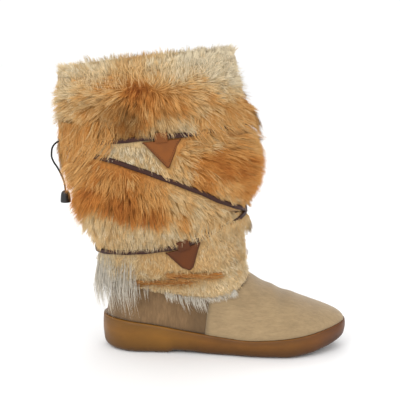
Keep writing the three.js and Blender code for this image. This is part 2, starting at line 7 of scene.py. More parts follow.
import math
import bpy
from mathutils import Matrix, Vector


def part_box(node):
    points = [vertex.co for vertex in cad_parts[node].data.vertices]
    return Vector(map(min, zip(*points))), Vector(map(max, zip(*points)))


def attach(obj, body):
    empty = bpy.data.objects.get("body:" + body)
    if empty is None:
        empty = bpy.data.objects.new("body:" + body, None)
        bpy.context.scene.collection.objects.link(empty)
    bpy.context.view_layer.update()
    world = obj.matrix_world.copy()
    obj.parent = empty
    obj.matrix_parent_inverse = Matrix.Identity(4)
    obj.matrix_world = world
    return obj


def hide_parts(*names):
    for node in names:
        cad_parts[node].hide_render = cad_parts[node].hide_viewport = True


bl_info = {
    "name": "Fur Winter Boot",
    "version": (1, 0, 0),
    "blender": (4, 5, 0),
    "location": "View3D > Sidebar > Boot",
    "description": "Builds a right fur winter boot: gum sole, hide vamp, lace, leather tabs and combed fur",
    "category": "Object",
}

import bmesh
import bpy
import numpy as np
from mathutils import Matrix, Vector, kdtree

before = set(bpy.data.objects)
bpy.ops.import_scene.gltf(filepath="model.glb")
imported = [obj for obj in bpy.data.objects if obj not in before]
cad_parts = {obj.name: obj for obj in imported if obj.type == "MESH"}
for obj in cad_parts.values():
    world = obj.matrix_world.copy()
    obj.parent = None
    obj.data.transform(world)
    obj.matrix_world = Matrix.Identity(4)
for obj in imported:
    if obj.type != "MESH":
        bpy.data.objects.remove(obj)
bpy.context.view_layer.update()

MM = 0.001
SEED = 38
EXTRA_SEED = SEED + 50

# Sizes shared with the solids, in millimetres
SOLE_LENGTH = 266
SOLE_FLANGE = 2.6
HEEL_ROUND = 40
TOE_ROUND = 62
TOE_SQUARENESS = 2.25
SOLE_EDGE_RADIUS = 7
SOLE_WALL_BULGE = 0.9
SOLE_LIP = 1.1
ANKLE_HEIGHT = 100
COLLAR_BACK = 297
COLLAR_FRONT = 313
WALL = 2.4
GAP = 0.4
SEAT_GAP = 0.3
VAMP_THICKNESS = 1.5
VAMP_SEAM_X = 113
VAMP_SEAM_LEAN = 0.1
INSOLE_THICKNESS = 4
INSOLE_INSET = 6.6
INSOLE_TOE_INSET = 12.5
SECTION_WIDE = 2.1
SECTION_TALL = 1.75
SHAFT_SQUARENESS = 2.2
TIE_HALF = 4.2
HEM_THICKNESS = 5
RIM_THICKNESS = 17
LACE_WIDTH = 5
LACE_THICKNESS = 1.8
TAB_HALF = 19.5
TAB_DEPTH = 30
TAB_THICKNESS = 1.7
TAB_LOOP_WIDTH = 13
CORD_DIAMETER = 2
BELL_RADIUS = 5.6
BELL_HEIGHT = 13

# Forms of the dressed pieces, in millimetres or as levels of the wall: 1 at the ankle, 2 at the collar
RIM_RISE = 0.05
RIM_INNER = 0.08  # share of the rim's thickness that is left at its inner edge
MID_LEG = 1.5
HAIR_OFF_WALL = 16.0  # usual depth of the hair's tips outside the leg
LOCKS_PER_TUFT = 14
TUFT_REACH = 9
LOCK_FLATNESS = 0.6
LOCK_WIDTHS = (0.36, 0.6)
WISP_WIDTH = 0.42
TUFT_CLUMPING = 0.45  # share by which a hanging tuft's tips draw together
TAB_POINT = 0.95  # share of the tab's depth where its point is cut blunt
HEM_LAP = 0.006  # level that the vamp stays below the hem
# Most that the darkening and the painted shade by the sole may reach
DARKENING_LIMIT = 0.8

# Camera in millimetres and shares of its sensor, stage in metres
SENSOR_WIDTH = 36
LENS_SHIFT = (-0.003, -0.009)
LIGHT_AIM = (0, 0, 0.16)
FLOOR_RADIUS = 6.0
FLOOR_DROP = 0.0004


def table(columns, *rows):
    """Named columns of numbers."""
    return dict(zip(columns.split(), np.array(rows, float).T))


# Half widths of the sole by the share of its length from the heel
OUTLINE = table(
    "along outer inner",
    (0, 32, 32), (0.12, 35, 34.5), (0.25, 36, 34), (0.4, 38.5, 32), (0.52, 43, 36),
    (0.64, 48, 44.5), (0.74, 49, 48.5), (0.84, 45, 47.5), (0.93, 38, 43), (1, 32, 38),
)
# Feather line and underside of the sole in side view
SOLE_SIDE = table(
    "x top under",
    (0, 36.2, 1.5), (16, 36, 0), (32, 35, 0), (64, 30.8, 0), (73, 29.2, 0), (79, 28.1, 2.6),
    (96, 25.3, 2), (120, 22.1, 0), (160, 18.9, 0), (181, 20, 0), (200, 21.9, 0), (223, 24.7, 2.4),
    (245, 28.2, 6.6), (266, 31.6, 12),
)
# Top line of the foot in side view
DORSAL = table(
    "x z",
    (136, 140), (140, 110), (144, 100), (152, 87), (163, 76.5), (185, 65.5), (201, 58.7),
    (218, 52.3), (234, 46.7), (249, 41.4), (257, 37.8), (262, 33.9), (SOLE_LENGTH - SOLE_FLANGE, 31.2),
)
HEEL = table("z back", (36, 2.6), (48, 5.5), (60, 8.5), (80, 10), (100, 10))
LEG = table(
    "z back front half",
    (100, 10, 144, 43), (130, 6, 138.5, 45), (165, -4, 139, 48), (205, -14, 141, 51),
    (250, -22, 138, 53), (330, -32, 126, 54),
)
# By degrees from the front: lower edge of the fur, heights of the lace's runs and the fur under them, puffs
HEM = table(
    "angle level",
    (0, 0.79), (35, 0.69), (62, 0.58), (85, 0.535), (97, 0.56), (118, 0.62), (180, 0.62),
)
TIES = table(
    "angle lower cross upper lower_floor cross_floor upper_floor",
    (0, 153, 153, 249, 17, 17, 22), (36, 142, 168, 245, 11, 11, 14), (60, 131, 183, 242, 7, 7, 8),
    (90, 121, 199, 238, 6.5, 6.5, 6.5), (120, 117, 214, 234, 8, 8, 8),
    (150, 114, 222, 230, 12, 15, 15), (180, 112, 227, 227, 15, 21, 21),
)
PUFFS = table(
    "angle ankle rear front cuff",
    (0, 3, 1, 14, 1), (45, 3, 4, 17, 8), (70, 2.5, 9, 10, 13), (86, 3, 13, 1.5, 14),
    (110, 5, 16, 1, 14), (140, 6, 16, 2, 12), (180, 3, 7, 1, 5),
)
# Each puff with the run of lace below it and above it
BANDS = {
    "ankle": (None, "lower"),
    "rear": ("lower", "cross"),
    "front": ("cross", "upper"),
    "cuff": ("upper", None),
}
# Each tab: its run, its place in degrees from the front, and how far its point lies towards the toe
TABS = {"upper": ("upper", 83, 3.5), "lower": ("lower", 75, 2)}
TAB_SIDES = {"outer": False, "inner": True}

# The draw cord from the lace's rear crossing to the top of its bell end
CORD_ROUTE = np.array(
    [
        (-40.7, -6.0, 227.0), (-44.6, -6.4, 226.4), (-49.0, -7.0, 223.4), (-51.8, -7.4, 217.8),
        (-52.2, -7.8, 211.2), (-50.2, -8.2, 205.0), (-46.6, -8.6, 199.6), (-43.0, -9.0, 193.0),
        (-40.2, -9.2, 186.6), (-38.6, -9.4, 180.4), (-38.0, -9.5, 174.4),
    ]
)

# How the fur is combed, by places in side view. Comb is in degrees from the toe's direction, up being 90;
# lift stands the hair up, length is in millimetres, warmth runs from 0 for pale to 1 for rust, and tone
# scales the brightness, its values below 1 painting shade in the hollows and under overhanging hair.
COMB_COLUMNS = "x z comb lift length warmth tone"
COMB = {
    "cuff": table(
        COMB_COLUMNS,
        (49, 288, 265, 0.55, 18, 0.85, 1), (20, 290, 195, 0.5, 22, 0.6, 1),
        (-5, 288, 182, 0.1, 24, 0.42, 1), (-30, 288, 172, -1.5, 24, 0.28, 1),
        (-30, 262, 195, -1.6, 26, 0.42, 1), (0, 262, 215, 0.2, 26, 0.55, 1),
        (25, 262, 235, 0.4, 24, 0.6, 0.76), (36, 262, 250, 0.45, 22, 0.7, 0.48),
        (-25, 240, 215, -1.2, 28, 0.6, 0.9), (10, 242, 225, 0.4, 24, 0.68, 0.76),
        (60, 270, 285, 0.4, 24, 0.75, 1), (70, 250, 290, 0.35, 24, 0.4, 0.85),
        (90, 247, 310, 0.35, 24, 0.32, 0.95), (85, 275, 320, 0.35, 26, 0.64, 1),
        (110, 285, 350, 0.4, 26, 0.55, 1), (110, 262, 325, 0.35, 26, 0.46, 1),
        (135, 285, 365, -1.3, 26, 0.3, 1), (140, 262, 345, -0.3, 28, 0.68, 1),
        (162, 262, 350, 0, 28, 0.75, 1), (49, 303, 95, 0.3, 18, 0.42, 1),
        (10, 301, 125, 0.3, 18, 0.24, 1), (-30, 299, 148, -1.2, 18, 0.18, 1),
        (85, 305, 70, 0.3, 18, 0.18, 1), (120, 305, 55, 0.1, 18, 0.06, 1),
        (145, 300, 35, -1.3, 18, 0.04, 1), (-2, 274, 200, 0.4, 18, 0.5, 0.76),
        (62, 303, 80, 0.3, 18, 0.38, 1),
    ),
    "front": table(
        COMB_COLUMNS,
        (60, 228, 280, 0.15, 10, 0.2, 1), (20, 228, 260, 0.12, 10, 0.18, 1),
        (35, 215, 285, 0.12, 10, 0.18, 1), (85, 200, 315, 0.25, 18, 0.4, 1),
        (95, 232, 340, 0.3, 26, 0.55, 1), (110, 240, 355, 0.3, 30, 0.5, 1),
        (140, 240, 352, 0.1, 32, 0.58, 1), (165, 235, 348, -0.3, 32, 0.55, 1),
        (115, 215, 338, 0.3, 34, 0.86, 0.95), (140, 212, 340, 0.1, 34, 0.85, 1),
        (165, 208, 338, -0.3, 32, 0.68, 1), (110, 195, 322, 0.3, 30, 0.72, 1),
        (135, 185, 325, 0.3, 30, 0.6, 1), (160, 185, 330, 0, 30, 0.66, 1),
        (130, 172, 320, 0.25, 22, 0.42, 1), (-30, 235, 195, 0.35, 22, 0.6, 1),
        (-5, 232, 215, 0.3, 18, 0.5, 1),
    ),
    "rear": table(
        COMB_COLUMNS,
        (-20, 205, 240, 0.3, 26, 0.6, 1), (5, 205, 250, 0.3, 28, 0.68, 1),
        (-5, 225, 225, 0.35, 24, 0.58, 1), (15, 215, 255, 0.3, 26, 0.62, 0.95),
        (40, 200, 280, 0.28, 28, 0.7, 1), (0, 180, 260, 0.3, 30, 0.88, 1),
        (30, 170, 265, 0.28, 30, 0.92, 0.9), (60, 165, 275, 0.28, 30, 0.86, 0.92),
        (60, 185, 290, 0.25, 28, 0.55, 1), (85, 178, 305, 0.25, 28, 0.36, 1),
        (105, 165, 312, 0.25, 26, 0.3, 1), (90, 155, 295, 0.28, 26, 0.62, 1),
        (20, 142, 265, 0.25, 24, 0.28, 0.95), (50, 140, 268, 0.25, 24, 0.24, 0.93),
        (80, 140, 280, 0.25, 24, 0.24, 0.95), (110, 148, 300, 0.25, 22, 0.28, 0.96),
        (0, 150, 262, 0.28, 26, 0.3, 1), (-25, 175, 245, 0.32, 28, 0.72, 1),
        (120, 155, 315, 0.22, 20, 0.38, 1), (135, 165, 320, 0.2, 18, 0.34, 1),
    ),
    "ankle": table(
        COMB_COLUMNS,
        (28, 110, 268, 0.12, 9, 0.2, 0.84), (60, 110, 275, 0.1, 8, 0.32, 0.84),
        (100, 110, 295, 0.1, 8, 0.3, 1), (140, 115, 300, 0.12, 9, 0.28, 1),
        (150, 140, 305, 0.15, 12, 0.3, 1), (105, 97, 290, 0.1, 7, 0.34, 0.96),
        (70, 97, 285, 0.1, 7, 0.34, 0.94), (100, 73, 300, 0.18, 9, 0.22, 0.95),
        (60, 71, 285, 0.18, 10, 0.2, 0.92), (140, 85, 310, 0.15, 9, 0.2, 1),
        (10, 88, 268, 0.2, 16, 0.1, 0.85), (5, 110, 268, 0.2, 16, 0.1, 0.9),
    ),
    "rim": table(
        COMB_COLUMNS,
        (-40, 300, 140, 0.6, 14, 0.14, 1), (0, 303, 115, 0.6, 13, 0.18, 1),
        (40, 308, 98, 0.6, 13, 0.38, 1), (70, 312, 85, 0.6, 14, 0.18, 1),
        (100, 316, 75, 0.6, 15, 0, 1.04), (145, 316, 50, 0.6, 15, 0, 1.04),
    ),
}
# How far the hair above each run of the lace hangs over it, by places in side view
COVER = {
    "upper": table(
        "x over",
        (-60, 30), (-18, 26), (-6, 15), (5, 5), (15, 0.5), (54, 0.5), (62, 3), (92, 3), (103, 15), (170, 20),
    ),
    "cross": table("x over", (-60, 18), (12, 14), (24, 1.5), (100, 2), (146, 3), (160, 8)),
    "lower": table("x over", (-60, 9), (14, 6), (30, 1.2), (100, 0.8), (114, 2), (124, 14), (150, 16)),
}

# Soft flexes across the vamp: x on the outer side, x on the inner side, half width, height (troughs negative)
FLEXES = (
    (199, 193, 7, -0.9), (209, 204, 6, 0.5), (178, 172, 8, -0.6), (167, 162, 7, 0.5), (187, 183, 4, 0.35),
)
# Short side wrinkles near the feather line: x, z, half width, half height, lean, height
WRINKLES = (
    (146, 25, 2.4, 9, 0.5, -0.5), (153, 24, 2.2, 8, 0.5, 0.35), (160, 27, 2.6, 9, 0.4, -0.4),
    (226, 37, 4, 8, 0.3, -0.4),
)
# The folds in the ankle fur: x and z of the rear end, x and z of the front end, half width, depth
ANKLE_FOLDS = ((28, 80.5, 114, 84.5, 3.4, 4.2), (66, 91.5, 142, 89.5, 2.8, 3.2))


def shade(red, green, blue):
    """A colour of 0 to 255 as linear light."""
    values = np.array((red, green, blue)) / 255
    return tuple(np.where(values <= 0.04045, values / 12.92, ((values + 0.055) / 1.055) ** 2.4))


def lerp(a, b, t):
    return a + (b - a) * t


def smooth(value, low, high):
    t = np.clip((value - low) / (high - low), 0, 1)
    return t * t * (3 - 2 * t)


def unit(vectors):
    return vectors / np.maximum(np.linalg.norm(vectors, axis=-1, keepdims=True), 1e-9)


def read(rows, by, column, value):
    """Reads one column at a value of another, on a smooth curve through the rows that doesn't overshoot."""
    knots, heights = rows[by], rows[column]
    slopes = np.diff(heights) / np.diff(knots)
    a, b = slopes[:-1], slopes[1:]
    inner = np.where(a * b <= 0, 0, 2 * a * b / np.where(a * b <= 0, 1, a + b))
    tangents = np.concatenate([slopes[:1], inner, slopes[-1:]])
    value = np.clip(value, knots[0], knots[-1])
    i = np.clip(np.searchsorted(knots, value, side="right") - 1, 0, len(knots) - 2)
    h = knots[i + 1] - knots[i]
    t = (value - knots[i]) / h
    ends = heights[i] * (1 + 2 * t) * (1 - t) ** 2 + heights[i + 1] * t * t * (3 - 2 * t)
    return ends + h * t * (1 - t) * (tangents[i] * (1 - t) - tangents[i + 1] * t)


def feather(x):
    return read(SOLE_SIDE, "x", "top", x)


def seat_line(x):
    return feather(x) + SEAT_GAP


def half_width(x, outer):
    """Half width of the sole's outline at x, towards the outer side where outer is true."""
    heel = 1 - np.clip(x / HEEL_ROUND, 0, 1)
    toe = np.clip((x - SOLE_LENGTH + TOE_ROUND) / TOE_ROUND, 0, 1)
    along = x / SOLE_LENGTH
    wide = np.where(outer, read(OUTLINE, "along", "outer", along), read(OUTLINE, "along", "inner", along))
    return wide * np.sqrt(1 - heel * heel) * np.sqrt(1 - toe**TOE_SQUARENESS)


def find_dorsal(level):
    """Where the top line of the foot meets a level, found by halving."""
    low = np.full_like(level, DORSAL["x"][0])
    high = np.full_like(level, DORSAL["x"][-1])
    for _ in range(40):
        x = (low + high) / 2
        above = read(DORSAL, "x", "z", x) > lerp(seat_line(x), ANKLE_HEIGHT, level)
        low, high = np.where(above, x, low), np.where(above, high, x)
    return (low + high) / 2


LEVELS = np.linspace(0, 1, 4001)
DORSAL_X = find_dorsal(LEVELS)


def super_oval(u):
    return (1 - np.abs(2 * u - 1) ** SHAFT_SQUARENESS) ** (1 / SHAFT_SQUARENESS)


def collar(angle):
    return lerp(COLLAR_BACK, COLLAR_FRONT, (1 + np.cos(angle)) / 2)


def is_outer(angle):
    return np.sin(angle) >= 0


def from_front(angle):
    return np.degrees(np.arccos(np.clip(np.cos(angle), -1, 1)))


def foot_wall(angle, level):
    """The foot's wall, at levels from 0 at the feather line to 1 at the ankle."""
    front = np.interp(level, LEVELS, DORSAL_X)
    back = read(HEEL, "z", "back", lerp(seat_line(0.0), ANKLE_HEIGHT, level))
    u = (1 + np.cos(angle)) / 2
    x = lerp(back, front, u)
    z = lerp(seat_line(x), ANKLE_HEIGHT, level)
    on_outline = (x - back * (1 - u)) / DORSAL_X[0] * SOLE_LENGTH
    room = np.maximum(read(DORSAL, "x", "z", x) - seat_line(x), 1e-6)
    tall = np.clip((z - seat_line(x)) / room, 0, 1)
    section = np.where(level > 0, (1 - tall**SECTION_TALL) ** (1 / SECTION_WIDE), 1)
    foot = half_width(on_outline, is_outer(angle)) * (1 - SOLE_FLANGE / 48) * section
    half = lerp(foot, LEG["half"][0] * super_oval(u), smooth(level, 0.25, 1))
    return np.stack([x, np.where(is_outer(angle), -half, half), z], -1)


def leg_wall(angle, level):
    """The leg's wall, at levels from 1 at the ankle to 2 at the collar and a little beyond."""
    z = lerp(ANKLE_HEIGHT, collar(angle), level - 1)
    u = (1 + np.cos(angle)) / 2
    x = lerp(read(LEG, "z", "back", z), read(LEG, "z", "front", z), u)
    half = read(LEG, "z", "half", z) * super_oval(u)
    return np.stack([x, np.where(is_outer(angle), -half, half), z], -1)


def wall_point(angle, level):
    angle, level = np.broadcast_arrays(np.asarray(angle, float), np.asarray(level, float))
    foot = foot_wall(angle, np.clip(level, 0, 1))
    leg = leg_wall(angle, np.maximum(level, 1))
    return np.where((level < 1)[..., None], foot, leg)


def wall_out(angle, level):
    """Straight out of the wall."""
    turn, rise = 0.02, 0.01
    around = unit(wall_point(angle + turn, level) - wall_point(angle - turn, level))
    up = unit(wall_point(angle, level + rise) - wall_point(angle, np.maximum(level - rise, 0)))
    return unit(np.cross(up, around))


def off_wall(angle, level, distance):
    """Points that lie a distance outside the wall."""
    return wall_point(angle, level) + wall_out(angle, level) * np.asarray(distance)[..., None]


def hem_level(angle):
    return read(HEM, "angle", "level", from_front(angle))


def rise_of(angle):
    return collar(angle) - ANKLE_HEIGHT


def leg_level(height, angle):
    """The leg's level at a height."""
    return 1 + (height - ANKLE_HEIGHT) / rise_of(angle)


def tie_height(tie, angle):
    return read(TIES, "angle", tie, from_front(angle))


def tie_level(tie, angle):
    return leg_level(tie_height(tie, angle), angle)


def tie_floor(tie, angle):
    return read(TIES, "angle", tie + "_floor", from_front(angle))


def floor_levels(angle):
    """The flat floors of the ties: where two runs cross, their floors lie side by side."""
    apart = (2 * TIE_HALF + 1) / rise_of(angle)

    def part(a, b):
        spread = np.maximum(apart - (b - a), 0) / 2
        return a - spread, b + spread

    lower, cross_low = part(tie_level("lower", angle), tie_level("cross", angle))
    cross_high, upper = part(cross_low, tie_level("upper", angle))
    return {"lower": lower, "cross": cross_high, "upper": upper}


def band_ends(puff, angle):
    """Levels of a puff's lower and upper edge."""
    below, above = BANDS[puff]
    floors = floor_levels(angle)
    half = TIE_HALF / rise_of(angle)
    low = floors[below] + half if below else hem_level(angle)
    high = floors[above] - half if above else np.full_like(angle, 2.0)
    return low, high


def fur_at(puff, angle, share):
    """Level and depth of the fur at a share of a puff's height."""
    below, above = BANDS[puff]
    low, high = band_ends(puff, angle)
    low_depth = tie_floor(below, angle) if below else HEM_THICKNESS
    high_depth = tie_floor(above, angle) if above else RIM_THICKNESS
    room = smooth((high - low) * rise_of(angle), 2, 34)
    swell = read(PUFFS, "angle", puff, from_front(angle)) * room
    rounding = np.sin(np.pi * np.clip(share, 0, 1)) ** 0.75
    return lerp(low, high, share), lerp(low_depth, high_depth, share) + swell * rounding


def fur_depth(angle, level):
    """Depth of the fur by angle and level, with the lace on its floors."""
    depth = np.where(level > 2, RIM_THICKNESS, HEM_THICKNESS)
    half = 1.02 * TIE_HALF / rise_of(angle)
    for tie, middle in floor_levels(angle).items():
        depth = np.where(np.abs(level - middle) < half, tie_floor(tie, angle) + LACE_THICKNESS + GAP, depth)
    for puff in BANDS:
        low, high = band_ends(puff, angle)
        share = (level - low) / np.maximum(high - low, 1e-6)
        inside = (share >= 0) & (share <= 1)
        depth = np.where(inside, fur_at(puff, angle, np.clip(share, 0, 1))[1], depth)
    return depth


def fold_places(points):
    """For each fold of the ankle fur, how far above it points lie and how full the fold is there."""
    x, z = points[..., 0], points[..., 2]
    for rear, low, fore, high, _, _ in ANKLE_FOLDS:
        full = smooth(x, rear, rear + 20) * (1 - smooth(x, fore - 22, fore))
        yield z - lerp(low, high, np.clip((x - rear) / (fore - rear), 0, 1)), full


def ankle_fold(points):
    """How deep the folds of the ankle fur are at points, on both sides of the boot."""
    depth = 0.0
    for (above, full), (*_, half, deepest) in zip(fold_places(points), ANKLE_FOLDS):
        depth = np.maximum(depth, deepest * full * np.exp(-((above / half) ** 2)))
    return depth


def rim_depth(turn):
    """Depth of the rim's roll, from its outer edge at 0 to its inner edge at half a turn."""
    return RIM_THICKNESS * lerp(RIM_INNER, 1, (1 + np.cos(turn)) / 2)


def fur_surface(puff, angle, share, sink=0.0):
    """Points of a puff's surface, sunk towards the wall."""
    angle, share = np.broadcast_arrays(np.asarray(angle, float), np.asarray(share, float))
    if puff == "rim":
        turn = np.pi * share
        level, depth = 2 + RIM_RISE * np.sin(turn), rim_depth(turn)
    else:
        level, depth = fur_at(puff, angle, share)
    if puff == "ankle":
        depth = depth - ankle_fold(wall_point(angle, level))
    return off_wall(angle, level, np.maximum(depth - sink, GAP + 0.6))


bell_low, bell_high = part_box("cord_bell")
SHIFT = np.array(
    [
        (bell_low.x + bell_high.x) / 2 / MM - CORD_ROUTE[-1][0],
        (bell_low.y + bell_high.y) / 2 / MM - CORD_ROUTE[-1][1],
        0.0,
    ]
)


def placed(points):
    """Millimetres from the heel as metres in the shared frame."""
    return (np.asarray(points, float) + SHIFT) * MM


# Sizes and colours that a user would change


def number(name, description, default, **limits):
    return bpy.props.FloatProperty(name=name, description=description, default=default, **limits)


class BootSizes(bpy.types.PropertyGroup):
    hair_amount: number(
        "Hair amount", "Share of the full number of hairs", 1.0, min=0.05, max=1.0, subtype="FACTOR"
    )
    hair_width: number(
        "Hair width", "Width of a lock of hair at its root", 0.0005, min=0.0001, max=0.002, unit="LENGTH"
    )
    hair_length: number("Hair length", "Scale of the hair's length", 1.0, min=0.3, max=1.5, subtype="FACTOR")
    flex_depth: number("Flex depth", "Scale of the vamp's creases", 1.0, min=0.0, max=2.0, subtype="FACTOR")
    stitch_step: number(
        "Stitch step", "Length from stitch to stitch on the tabs", 0.0024, min=0.001, max=0.01, unit="LENGTH"
    )


def colour_property(name, description, *values):
    return bpy.props.FloatVectorProperty(
        name=name, description=description, default=shade(*values), size=3, min=0.0, max=1.0, subtype="COLOR"
    )


class BootColours(bpy.types.PropertyGroup):
    gum: colour_property("Gum", "Rubber of the sole", 117, 74, 20)
    quarter: colour_property("Quarter", "Nap of the heel quarter", 125, 99, 70)
    vamp: colour_property("Vamp", "Short-haired hide of the vamp", 155, 133, 101)
    lining: colour_property("Lining", "Pile inside the boot", 190, 170, 134)
    felt: colour_property("Felt", "Felt of the footbed", 190, 176, 148)
    lace: colour_property("Lace", "Leather of the lace", 56, 28, 20)
    tab: colour_property("Tab", "Leather of the tabs", 127, 71, 22)
    thread: colour_property("Thread", "Stitches of the tabs", 66, 36, 20)
    black: colour_property("Black", "Draw cord and its bell end", 26, 26, 26)
    fur_pale: colour_property("Pale fur", "Rim and hem hair", 243, 226, 192)
    fur_cream: colour_property("Cream fur", "Cream hair", 238, 206, 154)
    fur_tan: colour_property("Tan fur", "Tan hair", 230, 176, 108)
    fur_orange: colour_property("Orange fur", "Orange hair", 212, 138, 66)
    fur_rust: colour_property("Rust fur", "Darkest orange hair", 178, 102, 48)
    fur_white: colour_property("White hair", "Long hair at the heel and the hem", 226, 216, 198)


class BootStage(bpy.types.PropertyGroup):
    azimuth: number("Azimuth", "Camera's turn round the boot", math.radians(2), subtype="ANGLE")
    elevation: number("Elevation", "Camera's height above the horizon", math.radians(11.2), subtype="ANGLE")
    distance: number("Distance", "From the camera to the boot's middle", 1.0, unit="LENGTH")
    aim_height: number("Aim height", "Height of the point that the camera looks at", 0.1663, unit="LENGTH")
    lens: number("Lens", "Focal length for a sensor of 36 mm", 83.1, unit="CAMERA")
    key_power: number("Key light", "Power of the soft light in front", 11.0, unit="POWER")
    sky: number("Sky", "Strength of the white surround", 1.06)


def sizes():
    return bpy.context.scene.boot_sizes


def colours():
    return bpy.context.scene.boot_colours


# Meshes


def skin(loops, close_around=True, close_stack=False, marks=None):
    """A bmesh skin over rows of points: a grid whose vertices are moved on to them, with its seams merged."""
    rows, columns = loops.shape[:2]
    wide = columns if close_around else columns - 1
    tall = rows if close_stack else rows - 1
    bm = bmesh.new()
    bmesh.ops.create_grid(bm, x_segments=wide, y_segments=tall, size=0.5)
    bm.verts.ensure_lookup_table()
    reach = max(v.co.x for v in bm.verts)
    layers = {name: bm.verts.layers.float.new(name) for name in (marks or {})}
    for v in bm.verts:
        i = round((v.co.x / reach + 1) / 2 * wide) % columns
        j = round((v.co.y / reach + 1) / 2 * tall) % rows
        v.co = loops[j, i]
        for name, layer in layers.items():
            v[layer] = marks[name][j, i]
    bmesh.ops.remove_doubles(bm, verts=bm.verts, dist=1e-7)
    bmesh.ops.recalc_face_normals(bm, faces=bm.faces)
    return bm


def joined(parts):
    """Several bmeshes as one."""
    whole = bmesh.new()
    for bm in parts:
        spare = bpy.data.meshes.new("spare")
        bm.to_mesh(spare)
        bm.free()
        whole.from_mesh(spare)
        bpy.data.meshes.remove(spare)
    return whole


def add_piece(name, mesh, material, replaces=()):
    """Links a finished mesh as a piece that rides with the boot."""
    obj = bpy.data.objects.new(name, mesh)
    bpy.context.scene.collection.objects.link(obj)
    for item in material if isinstance(material, tuple) else (material,):
        mesh.materials.append(item)
    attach(obj, "root")
    if replaces:
        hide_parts(*replaces)
    return obj


def add_bmesh(name, bm, material, replaces=()):
    """Adds a bmesh as a smooth piece."""
    mesh = bpy.data.meshes.new(name)
    bm.to_mesh(mesh)
    bm.free()
    mesh.polygons.foreach_set("use_smooth", np.ones(len(mesh.polygons), bool))
    return add_piece(name, mesh, material, replaces)


# Materials


def new_material(name, **settings):
    material = bpy.data.materials.new(name)
    material.use_nodes = True
    tree = material.node_tree
    shader = tree.nodes["Principled BSDF"]
    for key, value in settings.items():
        shader.inputs[key.replace("_", " ").title().replace("Ior", "IOR")].default_value = value
    return material, tree, shader


def add_node(tree, kind, inputs=None, **settings):
    node = tree.nodes.new(kind)
    for key, value in settings.items():
        setattr(node, key, value)
    for key, value in (inputs or {}).items():
        if isinstance(value, bpy.types.NodeSocket):
            tree.links.new(value, node.inputs[key])
        else:
            node.inputs[key].default_value = value
    return node


def object_space(tree, scale=(1, 1, 1), turn=(0, 0, 0)):
    place = add_node(tree, "ShaderNodeTexCoord")
    mapping = add_node(tree, "ShaderNodeMapping", {"Vector": place.outputs["Object"]})
    mapping.inputs["Scale"].default_value = scale
    mapping.inputs["Rotation"].default_value = turn
    return mapping.outputs["Vector"]


def noise(tree, vector, scale, detail=4.0, rough=0.55):
    values = {"Vector": vector, "Scale": scale, "Detail": detail, "Roughness": rough}
    return add_node(tree, "ShaderNodeTexNoise", values).outputs["Fac"]


def ramp(tree, factor, *stops):
    """A colour ramp through pairs of place and colour or grey value."""
    node = add_node(tree, "ShaderNodeValToRGB", {"Fac": factor})
    elements = node.color_ramp.elements
    while len(elements) < len(stops):
        elements.new(0.5)
    for element, (place, value) in zip(elements, stops):
        element.position = place
        colour = tuple(value) if isinstance(value, (tuple, list)) else (value,) * 3
        element.color = (*colour[:3], 1)
    return node.outputs["Color"]


def blend(tree, factor, a, b, mode="MIX"):
    node = add_node(tree, "ShaderNodeMix", data_type="RGBA", blend_type=mode)
    for index, value in ((0, factor), (6, a), (7, b)):
        if isinstance(value, bpy.types.NodeSocket):
            tree.links.new(value, node.inputs[index])
        elif index:
            node.inputs[index].default_value = (*tuple(value)[:3], 1)
        else:
            node.inputs[index].default_value = value
    return node.outputs[2]


def maths(tree, operation, a, b=0.0):
    return add_node(tree, "ShaderNodeMath", {0: a, 1: b}, operation=operation).outputs[0]


def bump(tree, shader, height, strength, distance):
    node = add_node(tree, "ShaderNodeBump", {"Height": height, "Strength": strength, "Distance": distance})
    tree.links.new(node.outputs["Normal"], shader.inputs["Normal"])


def times(tree, a, b):
    return maths(tree, "MULTIPLY", a, b)


def multiply_colours(tree, colour, tint):
    """A colour multiplied by another."""
    return blend(tree, 1.0, colour, tint, "MULTIPLY")


def paint(tree, shader, colour, roughness):
    """Links a material's colour and roughness."""
    tree.links.new(colour, shader.inputs["Base Color"])
    tree.links.new(roughness, shader.inputs["Roughness"])


def voronoi(tree, scale):
    values = {"Vector": object_space(tree), "Scale": scale}
    return add_node(tree, "ShaderNodeTexVoronoi", values).outputs["Distance"]


def waves(tree, vector, scale, direction, distortion=0.0):
    values = {"Vector": vector, "Scale": scale, "Distortion": distortion}
    settings = {"wave_type": "BANDS", "bands_direction": direction}
    return add_node(tree, "ShaderNodeTexWave", values, **settings).outputs["Fac"]


def attribute(tree, name, output="Fac"):
    return add_node(tree, "ShaderNodeAttribute", attribute_name=name).outputs[output]


def tone(colour, factor):
    return tuple(min(c * factor, 1) for c in tuple(colour)[:3])


